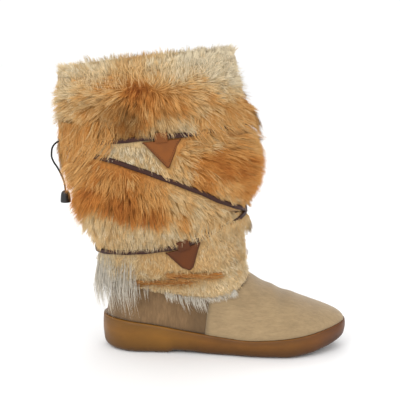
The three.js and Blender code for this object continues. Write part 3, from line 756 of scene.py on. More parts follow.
def gum_material():
    """Satin gum rubber with painted light: a lighter middle band, a painted highlight along the feather edge,
    and painted shade on the bottom roll, the toe and the heel back.
    """
    base = colours().gum
    material, tree, shader = new_material(
        "gum_rubber", roughness=0.42, specular_ior_level=0.28, coat_weight=0.06, coat_roughness=0.35
    )
    height = attribute(tree, "profile")
    # Painted light by height on the wall: painted shade low on the roll and under the lip, a lighter middle
    # band, and a painted highlight on the feather edge
    painted_height_light = ramp(
        tree, height, (0.0, tone(base, 0.42)), (0.22, tone(base, 0.6)), (0.42, tone(base, 0.9)),
        (0.62, tone(base, 1.08)), (0.86, tone(base, 0.86)), (0.93, tone(base, 1.3)), (1.0, tone(base, 1.0)),
    )
    place = add_node(tree, "ShaderNodeTexCoord")
    split = add_node(tree, "ShaderNodeSeparateXYZ", {"Vector": place.outputs["Object"]})
    # Painted light along the length: painted shade at the heel back and towards the toe, lighter on the
    # heel's side
    along = maths(tree, "ADD", times(tree, split.outputs["X"], 3.6), 0.44)
    ends = ramp(
        tree, along, (0.0, (0.5, 0.47, 0.43)), (0.06, (0.98, 1.05, 1.02)), (0.3, (1.1, 1.2, 1.15)),
        (0.48, (0.8, 0.78, 0.75)), (0.8, (0.78, 0.74, 0.66)), (0.9, (0.75, 0.63, 0.48)),
        (0.98, (0.57, 0.42, 0.3)),
    )
    cloud = noise(tree, object_space(tree, (1, 1, 2.5)), 38, 3)
    colour = multiply_colours(tree, multiply_colours(tree, painted_height_light, ends), ramp(tree, cloud, (0.3, 0.86), (0.7, 1.1)))
    scuffs = ramp(tree, noise(tree, object_space(tree, (1, 1, 5)), 160, 5, 0.7), (0.52, 0.0), (0.66, 1.0))
    low = ramp(tree, height, (0.2, 1.0), (0.4, 0.0))
    colour = blend(tree, times(tree, scuffs, times(tree, low, 0.6)), colour, tone(base, 0.3))
    paint(tree, shader, colour, ramp(tree, noise(tree, object_space(tree), 90, 4), (0.3, 0.34), (0.7, 0.56)))
    under = ramp(tree, height, (0.02, 1.0), (0.06, 0.0))
    ribs = times(tree, waves(tree, object_space(tree), 62.0, "X", 3.0), times(tree, under, 3.0))
    grain = times(tree, noise(tree, object_space(tree), 900, 3), 0.12)
    relief = maths(tree, "ADD", maths(tree, "ADD", ribs, grain), times(tree, cloud, 0.5))
    bump(tree, shader, relief, 0.35, 0.0006)
    return material


def nap_material(name, base, stretch, turn, scale, contrast, depth):
    """Short nap: fine strokes along one direction over slow clouds, with a soft sheen."""
    material, tree, shader = new_material(
        name, roughness=0.9, specular_ior_level=0.15, sheen_weight=0.25, sheen_roughness=0.5
    )
    strokes = noise(tree, object_space(tree, stretch, turn), scale, 5, 0.65)
    fine = noise(tree, object_space(tree, stretch, turn), scale * 3.1, 3, 0.6)
    clouds = noise(tree, object_space(tree), 22, 4, 0.6)
    both = maths(tree, "ADD", times(tree, strokes, 0.65), times(tree, fine, 0.35))
    low, high = tone(base, 1 - contrast), tone(base, 1 + contrast)
    colour = ramp(tree, both, (0.34, low), (0.52, tone(base, 1.0)), (0.68, high))
    colour = multiply_colours(tree, colour, ramp(tree, clouds, (0.3, (0.84, 0.82, 0.8)), (0.7, (1.08, 1.07, 1.04))))
    # Darker along the vamp seam and at a patch on the vamp, with painted shade low on the wall where it meets
    # the sole
    colour = blend(tree, attribute(tree, "darkening_and_sole_shade"), colour, tone(base, 0.5))
    paint(tree, shader, colour, ramp(tree, fine, (0.3, 0.8), (0.7, 0.98)))
    bump(tree, shader, both, depth, 0.0009)
    return material


def lining_material():
    """Curly pile."""
    material, tree, shader = new_material(
        "pile_lining", roughness=0.95, specular_ior_level=0.1, sheen_weight=0.3
    )
    base = colours().lining
    curls = voronoi(tree, 190.0)
    clouds = noise(tree, object_space(tree), 40, 4)
    colour = ramp(tree, curls, (0.1, tone(base, 1.1)), (0.7, tone(base, 0.6)))
    colour = multiply_colours(tree, colour, ramp(tree, clouds, (0.3, 0.85), (0.7, 1.08)))
    paint(tree, shader, colour, ramp(tree, clouds, (0.3, 0.88), (0.7, 1.0)))
    bump(tree, shader, curls, 0.8, 0.0012)
    return material


def felt_material():
    material, tree, shader = new_material("felt", roughness=0.96, specular_ior_level=0.1, sheen_weight=0.2)
    base = colours().felt
    fibres = noise(tree, object_space(tree), 420, 6, 0.75)
    clouds = noise(tree, object_space(tree), 30, 3)
    colour = ramp(tree, fibres, (0.35, tone(base, 0.78)), (0.65, tone(base, 1.1)))
    colour = multiply_colours(tree, colour, ramp(tree, clouds, (0.35, 0.86), (0.65, 1.04)))
    paint(tree, shader, colour, ramp(tree, fibres, (0.3, 0.88), (0.7, 1.0)))
    bump(tree, shader, fibres, 0.5, 0.0006)
    return material


def leather_material(name, base, scale, roughness, depth, edge):
    """Smooth leather with pores, worn a little lighter in clouds, and dark along its cut edge."""
    material, tree, shader = new_material(
        name, roughness=roughness, specular_ior_level=0.24, coat_weight=0.05, coat_roughness=0.5
    )
    grain = ramp(tree, voronoi(tree, scale), (0.0, 0.0), (0.45, 1.0))
    clouds = noise(tree, object_space(tree), 60, 5, 0.6)
    colour = ramp(tree, clouds, (0.3, tone(base, 0.8)), (0.55, tone(base, 1.0)), (0.75, tone(base, 1.22)))
    colour = multiply_colours(tree, colour, ramp(tree, grain, (0.0, 0.86), (0.5, 1.0)))
    colour = blend(tree, attribute(tree, "edge"), colour, edge)
    paint(tree, shader, colour, ramp(tree, clouds, (0.3, roughness - 0.08), (0.7, roughness + 0.14)))
    bump(tree, shader, grain, depth, 0.0004)
    return material


def thread_material(name, base, scale):
    """Twisted thread or cord."""
    material, tree, shader = new_material(name, roughness=0.7, specular_ior_level=0.25)
    twist = waves(tree, object_space(tree, turn=(0.3, 0.8, 0.2)), scale, "DIAGONAL")
    colour = ramp(tree, twist, (0.1, tone(base, 0.6)), (0.9, tone(base, 1.5)))
    paint(tree, shader, colour, ramp(tree, twist, (0.0, 0.6), (1.0, 0.8)))
    bump(tree, shader, twist, 0.5, 0.0003)
    return material


def bell_material():
    material, tree, shader = new_material("bell_plastic", roughness=0.4, specular_ior_level=0.5)
    base = colours().black
    mottle = noise(tree, object_space(tree), 500, 4)
    colour = ramp(tree, mottle, (0.3, tone(base, 0.8)), (0.7, tone(base, 1.6)))
    paint(tree, shader, colour, ramp(tree, mottle, (0.3, 0.3), (0.7, 0.5)))
    bump(tree, shader, mottle, 0.15, 0.0003)
    return material


def hair_material(name):
    """Hair in the colour that each lock carries, with fine streaks."""
    material, tree, shader = new_material(name, roughness=0.75, specular_ior_level=0.1)
    streaks = noise(tree, object_space(tree), 260, 3, 0.6)
    colour = multiply_colours(tree, attribute(tree, "hair", "Color"), ramp(tree, streaks, (0.3, 0.9), (0.7, 1.08)))
    paint(tree, shader, colour, ramp(tree, streaks, (0.3, 0.62), (0.7, 0.82)))
    return material


def pelt_material():
    """The dense wool under the hair."""
    material, tree, shader = new_material(
        "fur_pelt", roughness=0.95, specular_ior_level=0.08, sheen_weight=0.2
    )
    wool = noise(tree, object_space(tree, (1, 1, 0.35)), 420, 5, 0.7)
    colour = multiply_colours(tree, attribute(tree, "hair", "Color"), ramp(tree, wool, (0.32, 0.55), (0.68, 1.15)))
    paint(tree, shader, colour, ramp(tree, wool, (0.3, 0.88), (0.7, 1.0)))
    bump(tree, shader, wool, 0.9, 0.0015)
    return material


# Sole and footbed


def sole_edge(x, outer, inset):
    """Points of the sole's outline on one side, moved inwards square to the edge."""
    step = 0.05
    slope = (half_width(x + step, outer) - half_width(x - step, outer)) / (2 * step)
    side = -1.0 if outer else 1.0
    outward = unit(np.stack([-slope, np.full_like(x, side)], -1))
    return np.stack([x, side * half_width(x, outer)], -1) - outward * np.asarray(inset)[..., None]


def sole_loop(count, inset, height, spread=1.0):
    """A loop out along the outer side and home along the inner side, drawn in by spread."""
    end = 0.15
    x = lerp(end, SOLE_LENGTH - end, (1 - np.cos(np.pi * np.arange(count) / (count - 1))) / 2)
    inset = inset(x) if callable(inset) else np.full_like(x, inset)
    outer, inner = sole_edge(x, True, inset), sole_edge(x, False, inset)
    middle = (outer + inner) / 2
    sides = [middle + (edge - middle) * spread for edge in (outer, inner)]
    plan = np.concatenate([sides[0], sides[1][::-1]])
    return np.concatenate([plan, height(plan[:, 0])[:, None]], 1)


def under_sole(x):
    return read(SOLE_SIDE, "x", "under", x)


def sole_bmesh(count=110):
    loops, profile = [], []

    def add(mark, inset, height, spread=1.0):
        loops.append(sole_loop(count, inset, height, spread))
        profile.append(mark)

    for spread in (0.0, 0.35, 0.7, 0.9):
        add(0.0, SOLE_EDGE_RADIUS, under_sole, spread)
    for turn in np.radians(np.linspace(0, 90, 9)):
        rise = SOLE_EDGE_RADIUS * (1 - math.cos(turn))
        add(
            0.04 + 0.24 * turn / (np.pi / 2), SOLE_EDGE_RADIUS * (1 - math.sin(turn)),
            lambda x, rise=rise: under_sole(x) + rise,
        )
    for share in np.linspace(0.1, 1, 10):
        swell = -(SOLE_WALL_BULGE - 0.15) * math.sin(math.pi * share) - 0.3 * share
        add(
            0.28 + 0.6 * share, swell,
            lambda x, share=share: lerp(under_sole(x) + SOLE_EDGE_RADIUS, feather(x) - SOLE_LIP, share),
        )
    for inset, drop, mark in ((-0.1, 1.0, 0.885), (-0.35, 0.75, 0.92), (-0.25, 0.3, 0.95), (0.1, 0.08, 0.98)):
        add(mark, inset, lambda x, drop=drop: feather(x) - drop)
    for spread in (1.0, 0.8, 0.4, 0.0):
        add(1.0, 0.5, feather, spread)
    loops = placed(np.array(loops))
    marks = np.repeat(np.array(profile)[:, None], loops.shape[1], 1)
    return skin(loops, marks={"profile": marks})


def footbed_bmesh(count=70):
    def inset(x):
        return lerp(INSOLE_INSET, INSOLE_TOE_INSET, smooth(x, 160, SOLE_LENGTH))

    def dish(x):
        return 0.5 * np.exp(-(((x - 34) / 26) ** 2)) + 0.45 * np.exp(-(((x - 195) / 30) ** 2))

    loops = [sole_loop(count, inset, seat_line, spread) for spread in (0.0, 0.5, 1.0)]
    for draw, rise in ((0.0, 2.8), (0.3, 3.5), (0.9, 3.9)):
        loops.append(
            sole_loop(
                count, lambda x, draw=draw: inset(x) + draw, lambda x, rise=rise: seat_line(x) + rise,
            )
        )
    for spread in (0.9, 0.7, 0.45, 0.2, 0.0):
        sink = smooth(1 - spread, 0.1, 0.5)
        loops.append(
            sole_loop(
                count, inset, lambda x, sink=sink: seat_line(x) + INSOLE_THICKNESS - dish(x) * sink, spread,
            )
        )
    return skin(placed(np.array(loops)))


# Upper and vamp


def around(count):
    return 2 * np.pi * np.arange(count) / count


def upper_bmesh(columns=150):
    """Foot and leg in one hollow wall: outside up, over the collar and down inside."""
    angle = around(columns)
    hem = hem_level(angle)
    levels = [hem * share**1.15 for share in np.linspace(0, 1, 15)]
    levels += [lerp(hem, 2.0, share) for share in np.linspace(0.06, 1, 20)]
    outside = [off_wall(angle, level, 0.0) for level in levels]
    inside = [off_wall(angle, level, -WALL) for level in levels]
    inside[0][:, 2] = np.maximum(inside[0][:, 2], outside[0][:, 2])
    top = off_wall(angle, 2.004, -WALL / 2)
    loops = np.array(outside + [top] + inside[::-1])
    # Darker behind the vamp seam, and painted shade just above the sole's feather line
    seam = np.exp(-(((loops[..., 0] - VAMP_SEAM_X + 5) / 9) ** 2))
    foot = 0.35 * np.exp(-(((loops[..., 2] - feather(loops[..., 0])) / 5) ** 2))
    darkening_and_sole_shade = np.clip(0.75 * seam + foot, 0, DARKENING_LIMIT)
    return skin(placed(loops), close_stack=True, marks={"darkening_and_sole_shade": darkening_and_sole_shade})


def vamp_relief(points):
    """Height of the listed creases at points of the vamp."""
    x, y, z = points[..., 0], points[..., 1], points[..., 2]
    across = np.clip(y / 90 + 0.5, 0, 1)
    high = smooth(z - feather(x), 8, 24)
    relief = np.zeros_like(x)
    for outer, inner, half, height in FLEXES:
        middle = lerp(outer, inner, across)
        relief += height * high * np.exp(-(((x - middle) / half) ** 2))
    for at, level, half, tall, lean, height in WRINKLES:
        offset = (x - at - lean * (z - level)) / half
        relief += height * np.exp(-(offset**2) - ((z - level) / tall) ** 2)
    return relief * sizes().flex_depth


def seam_angle(level):
    """The angle round the wall where the vamp's rear seam meets a level, found by halving."""
    low, high = np.zeros_like(level), np.full_like(level, np.pi)
    for _ in range(40):
        angle = (low + high) / 2
        point = wall_point(angle, level)
        seam = VAMP_SEAM_X + (point[..., 2] - feather(VAMP_SEAM_X)) * math.tan(VAMP_SEAM_LEAN)
        ahead = point[..., 0] > seam
        low, high = np.where(ahead, angle, low), np.where(ahead, high, angle)
    return (low + high) / 2


def vamp_bmesh(columns=170, rows=40):
    """The vamp as a closed sheet round the front of the foot, with its edges turned in."""
    share = np.linspace(0, 1, rows)
    level = share**1.15
    turn = np.linspace(-1, 1, columns)
    angle = np.zeros((rows, columns))
    height = np.zeros((rows, columns))
    for j in range(rows):
        # The hem's level differs by angle, so each round uses the hem at the angle found before
        reach = np.array([1.2])
        for _ in range(6):
            reach = seam_angle(np.clip(hem_level(reach) - HEM_LAP, 0, 1) * level[j])
        angle[j] = reach[0] * turn
        height[j] = level[j] * (hem_level(angle[j]) - HEM_LAP)
    angle = np.mod(angle, 2 * np.pi)
    base = wall_point(angle, height)
    relief = vamp_relief(base)
    edge = np.minimum((1 - np.abs(turn)) * columns / 2, 2.0) / 2
    edge = np.minimum(edge[None, :], np.minimum((1 - share) * rows / 1.5, 1.0)[:, None])
    thick = VAMP_THICKNESS * (0.35 + 0.65 * np.sqrt(np.clip(edge, 0, 1)))
    faces = [off_wall(angle, height, GAP), off_wall(angle, height, GAP + thick + relief)]
    loops = np.concatenate([faces[0], faces[1][:, ::-1]], 1)
    middle = (faces[0] + faces[1]) / 2
    ends = [np.concatenate([row, row[::-1]], 0)[None] for row in (middle[0], middle[-1])]
    loops = np.concatenate([ends[0], loops, ends[1]], 0)
    # A darker patch near the front flexes, darker along the rear seam, and painted shade just above the
    # sole's feather line
    patch = 0.3 * np.exp(-(((loops[..., 0] - 197) / 9) ** 2) - ((loops[..., 2] - 58) / 8) ** 2)
    seam = 0.6 * np.exp(-(((loops[..., 0] - VAMP_SEAM_X - 0.1 * (loops[..., 2] - 20)) / 3.5) ** 2))
    foot = 0.3 * np.exp(-(((loops[..., 2] - feather(loops[..., 0])) / 3) ** 2))
    return skin(placed(loops), marks={"darkening_and_sole_shade": np.clip(patch + seam + foot, 0, DARKENING_LIMIT)})


# Lace, tabs and draw cord


def lace_run(tie, columns=220):
    """One closed run of the flat lace, with rounded edges and a slight wave."""
    angle = around(columns)
    wave = 0.25 * np.sin(7 * angle) + 0.15 * np.sin(17 * angle + 1)

    def centre(a, distance):
        return off_wall(a, tie_level(tie, a), tie_floor(tie, a) + distance)

    step = 0.03
    along = unit(centre(angle + step, GAP) - centre(angle - step, GAP))
    edge = unit(np.cross(wall_out(angle, tie_level(tie, angle)), along))
    half, top = LACE_WIDTH / 2, LACE_THICKNESS
    section = (
        (-half + 0.2, 0.0), (half - 0.2, 0.0), (half, 0.35), (half, top - 0.6), (half - 0.35, top - 0.12),
        (half * 0.5, top), (0, top - 0.06), (-half * 0.5, top), (-half + 0.35, top - 0.12),
        (-half, top - 0.6), (-half, 0.35),
    )
    loops = [centre(angle, GAP + rise) + edge * (side + wave)[:, None] for side, rise in section]
    dark = np.array([0.5 if abs(side) / half > 0.8 else 0.0 for side, _ in section])
    marks = np.repeat(dark[:, None], columns, 1)
    return skin(placed(np.array(loops)), close_stack=True, marks={"edge": marks})


class Tab:
    """One tab on its run: places on it by millimetres along the run, below it and off the fur."""

    def __init__(self, name, mirrored):
        self.tie, degrees, self.point_shift = TABS[name]
        self.mirrored = mirrored
        self.centre = math.radians(degrees)
        self.floor = float(tie_floor(self.tie, self.centre))
        step = 0.02
        ends = [self.on_run(self.centre + side * step, 0.0, 0.0) for side in (1, -1)]
        self.speed = float(np.linalg.norm(ends[0] - ends[1])) / (2 * step)
        self.top = LACE_WIDTH / 2 + 1

    def on_run(self, angle, drop, distance):
        angle = np.asarray(2 * np.pi - angle if self.mirrored else angle, float)
        level = tie_level(self.tie, angle) - drop / rise_of(angle)
        return off_wall(angle, level, self.floor + np.asarray(distance, float))

    def place(self, along, drop, distance):
        return self.on_run(self.centre - along / self.speed, drop, distance)

    def depth(self, along):
        """How far the triangle reaches down at a place along its top edge."""
        tip = self.point_shift
        rear, fore = (along + TAB_HALF) / (TAB_HALF + tip), (TAB_HALF - along) / (TAB_HALF - tip)
        return np.maximum(1.8, np.minimum(np.where(along < tip, rear, fore), TAB_POINT) * TAB_DEPTH)

    def point(self):
        return self.point_shift, self.top + TAB_DEPTH * TAB_POINT

    def corners(self):
        """The triangle in side view."""
        spots = ((-TAB_HALF, self.top), (TAB_HALF, self.top), self.point())
        return np.array([self.place(along, drop, TAB_THICKNESS)[[0, 2]] for along, drop in spots])

    def plate(self, across=52, down=22):
        along = np.linspace(-TAB_HALF, TAB_HALF, across)[None, :]
        share = np.linspace(0, 1, down)[:, None]
        depth = self.depth(along)
        drop = self.top + share * depth
        margin = np.minimum(np.minimum(share, 1 - share) * depth, TAB_HALF - np.abs(along))
        slant = np.minimum((1 - share) * depth * 0.62, TAB_HALF - np.abs(along))
        full = np.sqrt(np.clip(1 - (1 - np.clip(margin / 0.9, 0, 1)) ** 2, 0.12, 1))
        middle = GAP + TAB_THICKNESS / 2
        faces = [self.place(along, drop, middle + side * TAB_THICKNESS / 2 * full) for side in (-1, 1)]
        loops = np.concatenate([faces[0], faces[1][:, ::-1]], 1)
        core = (faces[0] + faces[1]) / 2
        ends = [np.concatenate([row, row[::-1]], 0)[None] for row in (core[0], core[-1])]
        rim = np.clip(1.25 - slant / 1.6, 0, 1) * 0.9
        rim = np.concatenate([rim, rim[:, ::-1]], 1)
        marks = np.concatenate([rim[:1], rim, rim[-1:]], 0)
        return skin(placed(np.concatenate([ends[0], loops, ends[1]], 0)), marks={"edge": marks})

    def keeper(self):
        """The folded loop over the lace, as a bevelled staple."""
        inner = LACE_WIDTH / 2 + 1.1
        outer = inner + TAB_THICKNESS - 0.2
        roof = GAP + LACE_THICKNESS + 0.5
        tall, foot = roof + TAB_THICKNESS - 0.3, 0.3
        outline = (
            (-outer, foot), (-outer, tall), (outer, tall), (outer, foot),
            (inner, foot), (inner, roof), (-inner, roof), (-inner, foot),
        )
        bm = bmesh.new()
        face = bm.faces.new([bm.verts.new((a * MM, b * MM, -TAB_LOOP_WIDTH / 2 * MM)) for a, b in outline])
        raised = bmesh.ops.extrude_face_region(bm, geom=[face])["geom"]
        moved = [item for item in raised if isinstance(item, bmesh.types.BMVert)]
        bmesh.ops.translate(bm, verts=moved, vec=(0, 0, TAB_LOOP_WIDTH * MM))
        bmesh.ops.recalc_face_normals(bm, faces=bm.faces)
        rounding = {"offset": 0.35 * MM, "segments": 2, "profile": 0.5}
        bmesh.ops.bevel(bm, geom=bm.edges[:], affect="EDGES", material=-1, **rounding)
        step = 0.02
        ahead = unit(self.on_run(self.centre - step, 0.0, 0.0) - self.on_run(self.centre + step, 0.0, 0.0))
        turned = 2 * np.pi - self.centre if self.mirrored else self.centre
        out = wall_out(np.asarray(turned), tie_level(self.tie, np.asarray(turned)))
        across = unit(np.cross(out, ahead))
        matrix = Matrix(np.stack([across, out, np.cross(across, out)], 1).tolist()).to_4x4()
        matrix.translation = Vector(placed(self.on_run(self.centre, 0.0, 0.0)))
        bmesh.ops.transform(bm, matrix=matrix, verts=bm.verts)
        bmesh.ops.recalc_face_normals(bm, faces=bm.faces)
        edge = bm.verts.layers.float.new("edge")
        for v in bm.verts:
            v[edge] = 0.25
        return bm

    def stitches(self):
        """A row of stitches along both slanting edges."""
        bms = []
        corner = np.array(self.point())
        for side in (-1, 1):
            start = np.array([side * TAB_HALF, self.top])
            edge = corner - start
            length = float(np.linalg.norm(edge))
            inward = np.array([-edge[1], edge[0]]) / length * (1 if side > 0 else -1)
            count = int((length - 7) / (sizes().stitch_step / MM))
            for k in range(count):
                at = start + edge * ((4.2 + k * sizes().stitch_step / MM) / length) + inward * 2.0
                ahead = at + edge / length * 0.5
                face = GAP + TAB_THICKNESS
                here, there = self.place(*at, face + 0.05), self.place(*ahead, face + 0.05)
                over = self.place(*at, face + 1.0)
                run, out = unit(there - here), unit(over - here)
                bm = bmesh.new()
                bmesh.ops.create_icosphere(bm, subdivisions=1, radius=1.0)
                axes = np.stack([run * 0.85, np.cross(out, run) * 0.32, out * 0.28], 1) * MM
                matrix = Matrix(axes.tolist()).to_4x4()
                matrix.translation = Vector(placed(here))
                bmesh.ops.transform(bm, matrix=matrix, verts=bm.verts)
                bms.append(bm)
        return bms


def smooth_route(points, count):
    """A smooth line through points, evenly sampled."""
    gaps = np.linalg.norm(np.diff(points, axis=0), axis=1)
    at = np.concatenate([[0], np.cumsum(gaps)])
    rows = {"at": at, "x": points[:, 0], "y": points[:, 1], "z": points[:, 2]}
    fine = np.linspace(0, at[-1], 400)
    line = np.stack([read(rows, "at", axis, fine) for axis in "xyz"], -1)
    run = np.concatenate([[0], np.cumsum(np.linalg.norm(np.diff(line, axis=0), axis=1))])
    even = np.linspace(0, run[-1], count)
    return np.stack([np.interp(even, run, line[:, k]) for k in range(3)], -1)


# Fur


def fur_colours(warmth):
    palette = colours()
    stops = [palette.fur_pale, palette.fur_cream, palette.fur_tan, palette.fur_orange, palette.fur_rust]
    values = np.array([tuple(stop) for stop in stops])
    places = np.linspace(0, 1, len(stops))
    return np.stack([np.interp(warmth, places, values[:, k]) for k in range(3)], -1)


def read_comb(puff, points):
    """Direction in side view, lift, length, warmth and tone at points, blended from the nearest places."""
    rows = COMB[puff]
    gap = (points[..., 0, None] - rows["x"]) ** 2 + (points[..., 2, None] - rows["z"]) ** 2
    weight = 1 / (gap + 4.5**2) ** 2.4
    weight /= weight.sum(-1, keepdims=True)
    turn = np.radians(rows["comb"])
    side = np.stack([(weight * np.cos(turn)).sum(-1), (weight * np.sin(turn)).sum(-1)], -1)
    return unit(side), *((weight * rows[name]).sum(-1) for name in ("lift", "length", "warmth", "tone"))


def fur_normals(puff, angle, share):
    step = 0.012
    across = fur_surface(puff, angle + step, share) - fur_surface(puff, angle - step, share)
    low, high = np.maximum(share - step, 0), np.minimum(share + step, 1)
    up = fur_surface(puff, angle, high) - fur_surface(puff, angle, low)
    return unit(np.cross(up, across))


def scatter(puff, count, rng, columns=200, rows=40):
    """Random places on a puff, even by area."""
    a, s = np.linspace(0, 2 * np.pi, columns + 1), np.linspace(0, 1, rows + 1)
    grid = fur_surface(puff, a[:, None], s[None, :])
    across, up = np.diff(grid, axis=0)[:, :-1], np.diff(grid, axis=1)[:-1]
    area = np.linalg.norm(np.cross(across, up), axis=-1).ravel()
    cell = rng.choice(area.size, count, p=area / area.sum())
    i, j = np.divmod(cell, rows)
    return a[i] + rng.random(count) * (a[1] - a[0]), s[j] + rng.random(count) * (s[1] - s[0])


def angle_at(points, depth=0.0):
    """The wall's angle at points that lie about a depth outside the leg, on the side that they are on."""
    back, front = read(LEG, "z", "back", points[:, 2]), read(LEG, "z", "front", points[:, 2])
    reach = (points[:, 0] - (front + back) / 2) / ((front - back) / 2 + depth)
    angle = np.arccos(np.clip(reach, -1, 1))
    return np.where(points[:, 1] <= 0, angle, 2 * np.pi - angle)


def settle(points, stand, ease):
    """Brings points of the leg's hair to a height above the fur; ease is the share that sinks from above."""
    angle = angle_at(points, HAIR_OFF_WALL)
    level = leg_level(points[:, 2], angle)
    on_leg = (level > 1.05) & (level < 2.0)
    level = np.clip(level, 1.05, 2.0)
    out = wall_out(angle, level)
    above = ((points - wall_point(angle, level)) * out).sum(-1) - fur_depth(angle, level) - stand
    return points - out * np.where(on_leg, np.where(above > 0, above * ease, above), 0)[:, None]


def inside_triangle(points, corners, margin):
    """How far inside a triangle in side view points lie; positive is inside."""
    flat = points[:, [0, 2]]
    centre = corners.mean(0)
    depth = np.full(len(flat), 1e9)
    for k in range(3):
        a, b = corners[k], corners[(k + 1) % 3]
        normal = np.array([-(b - a)[1], (b - a)[0]]) / np.linalg.norm(b - a)
        normal *= np.sign(normal @ (centre - a))
        depth = np.minimum(depth, (flat - a) @ normal)
    return depth + margin


def hair_template(bent):
    """One lock as ring angles, shares and faces: a three-sided taper, with a middle ring if it is bent."""
    bm = bmesh.new()
    bmesh.ops.create_cone(bm, cap_ends=True, cap_tris=False, segments=3, radius1=1, radius2=0, depth=1)
    bmesh.ops.remove_doubles(bm, verts=bm.verts, dist=1e-5)
    if bent:
        whole = bm.verts[:] + bm.edges[:] + bm.faces[:]
        bmesh.ops.bisect_plane(bm, geom=whole, plane_co=(0, 0, 0), plane_no=(0, 0, 1))
    bmesh.ops.recalc_face_normals(bm, faces=bm.faces)
    bm.verts.index_update()
    co = np.array([v.co for v in bm.verts])
    faces = [[v.index for v in face.verts] for face in bm.faces]
    bm.free()
    return np.arctan2(co[:, 1], co[:, 0]), co[:, 2] + 0.5, faces


def lock_arrays(bent, points, normals, width, colour_root, colour_tip):
    """The mesh arrays of locks that are given by root, middle and tip."""
    ring, share, faces = hair_template(bent)
    count, size = len(points), len(ring)
    step = np.round(share * 2).astype(int)
    spine = points[:, step]
    along = unit(points[:, 2] - points[:, 0])
    side = unit(np.cross(normals, along))
    rise = unit(np.cross(along, side))
    taper = np.where(step == 0, 0.8, np.where(step == 1, 1.0, 0.0))
    radius = width[:, None] * taper[None, :] / 2
    across, up = np.cos(ring)[None, :] * radius, np.sin(ring)[None, :] * radius * LOCK_FLATNESS
    co = spine + side[:, None] * across[..., None] + rise[:, None] * up[..., None]
    own = unit(side[:, None] * np.cos(ring)[None, :, None] + rise[:, None] * np.sin(ring)[None, :, None])
    facing = unit(own * 0.45 + normals[:, None] * 0.85)
    fade = np.where(step == 0, 0.0, np.where(step == 1, 0.6, 1.0))[None, :, None]
    colour = colour_root[:, None] * (1 - fade) + colour_tip[:, None] * fade
    corners = np.concatenate([np.array(face) for face in faces])
    return {
        "co": placed(co.reshape(-1, 3)),
        "colour": np.concatenate([colour, np.ones((count, size, 1))], -1).reshape(-1, 4),
        "facing": facing.reshape(-1, 3),
        "corners": (np.arange(count)[:, None] * size + corners).ravel(),
        "totals": np.tile([len(face) for face in faces], count),
        "lock": np.repeat(np.arange(count), len(corners)),
        "in_cell": np.tile(np.stack([ring[corners] / (2 * np.pi) % 1, share[corners]], -1), (count, 1)),
    }


def hair_mesh(name, groups):
    """A mesh of locks from groups of bent or straight ones, each lock in a cell of its own in the UV map."""
    parts = [lock_arrays(bent, *locks) for bent, locks in groups]
    vertices, locks = 0, 0
    for part, (_, (points, *_)) in zip(parts, groups):
        part["corners"] = part["corners"] + vertices
        part["lock"] = part["lock"] + locks
        vertices += len(part["co"])
        locks += len(points)
    whole = {key: np.concatenate([part[key] for part in parts]) for key in parts[0]}
    mesh = bpy.data.meshes.new(name)
    mesh.vertices.add(vertices)
    mesh.vertices.foreach_set("co", whole["co"].astype(np.float32).ravel())
    mesh.loops.add(len(whole["corners"]))
    mesh.loops.foreach_set("vertex_index", whole["corners"].astype(np.int32))
    mesh.polygons.add(len(whole["totals"]))
    starts = np.concatenate([[0], np.cumsum(whole["totals"])[:-1]])
    mesh.polygons.foreach_set("loop_start", starts.astype(np.int32))
    mesh.update(calc_edges=True)
    mesh.polygons.foreach_set("use_smooth", np.ones(len(whole["totals"]), bool))
    # Each lock's colour, darker at the root as painted shade
    colour_with_painted_shade = mesh.attributes.new("hair", "FLOAT_COLOR", "POINT")
    colour_with_painted_shade.data.foreach_set("color", whole["colour"].astype(np.float32).ravel())
    face_out = mesh.attributes.new("custom_normal", "FLOAT_VECTOR", "POINT")
    face_out.data.foreach_set("vector", whole["facing"].astype(np.float32).ravel())
    cells = int(math.ceil(math.sqrt(locks)))
    cell = np.stack([whole["lock"] % cells, whole["lock"] // cells], -1)
    layer = mesh.uv_layers.new(name="OFBake")
    layer.data.foreach_set("uv", ((cell + 0.1 + 0.8 * whole["in_cell"]) / cells).astype(np.float32).ravel())
    mesh.update()
    return mesh


def clump_leaders(roots, rng):
    """For each lock, the lock that leads its tuft."""
    count = max(len(roots) // LOCKS_PER_TUFT, 1)
    leaders = rng.choice(len(roots), count, replace=False)
    tree = kdtree.KDTree(count)
    for k, leader in enumerate(leaders):
        tree.insert(roots[leader], k)
    tree.balance()
    return leaders[np.array([tree.find(root)[1] for root in roots])]


def draw_together(points, roots, lead, amount):
    """Draws the tips of a tuft's locks towards its leader's."""
    close = np.clip(1 - np.linalg.norm(roots - roots[lead], axis=1) / TUFT_REACH, 0, 1) * amount
    points[:, 2] = lerp(points[:, 2], points[lead, 2], close[:, None])
    points[:, 1] = lerp(points[:, 1], points[lead, 1], close[:, None] * 0.35)


def fur_sink(puff, angle, share):
    """How far under the puff's surface the hair is rooted."""
    if puff == "rim":
        return np.full_like(angle, 5.0)
    depth = fur_at(puff, angle, share)[1]
    return np.clip(0.45 * depth, 2.2, 3.0 if puff == "ankle" else 10.0)


def comb_lines(puff, angle, share, normals, side, lead, rng):
    """Directions of the locks along the fur, and how far the comb points out of it."""
    count = len(angle)
    swing = rng.normal(0, 0.22, count)[lead] + rng.normal(0, 0.16, count)
    cos, sin = np.cos(swing), np.sin(swing)
    x, z = side[:, 0], side[:, 1]
    flat = np.stack([x * cos - z * sin, np.zeros(count), x * sin + z * cos], -1)
    hang = np.zeros((count, 1)) if puff == "rim" else 0.6 * smooth(0.5 - share, 0, 0.4)[:, None]
    lie = unit(normals * (1 - hang) + wall_out(angle, MID_LEG) * hang)
    facing = (flat * lie).sum(-1, keepdims=True)
    comb = flat - lie * facing
    if puff != "rim":
        comb[:, 2] -= 0.45 * np.abs(facing[:, 0])
    comb += rng.normal(0, 0.1, (count, 3))
    return unit(comb - lie * (comb * lie).sum(-1, keepdims=True)), np.maximum(facing[:, 0], 0)


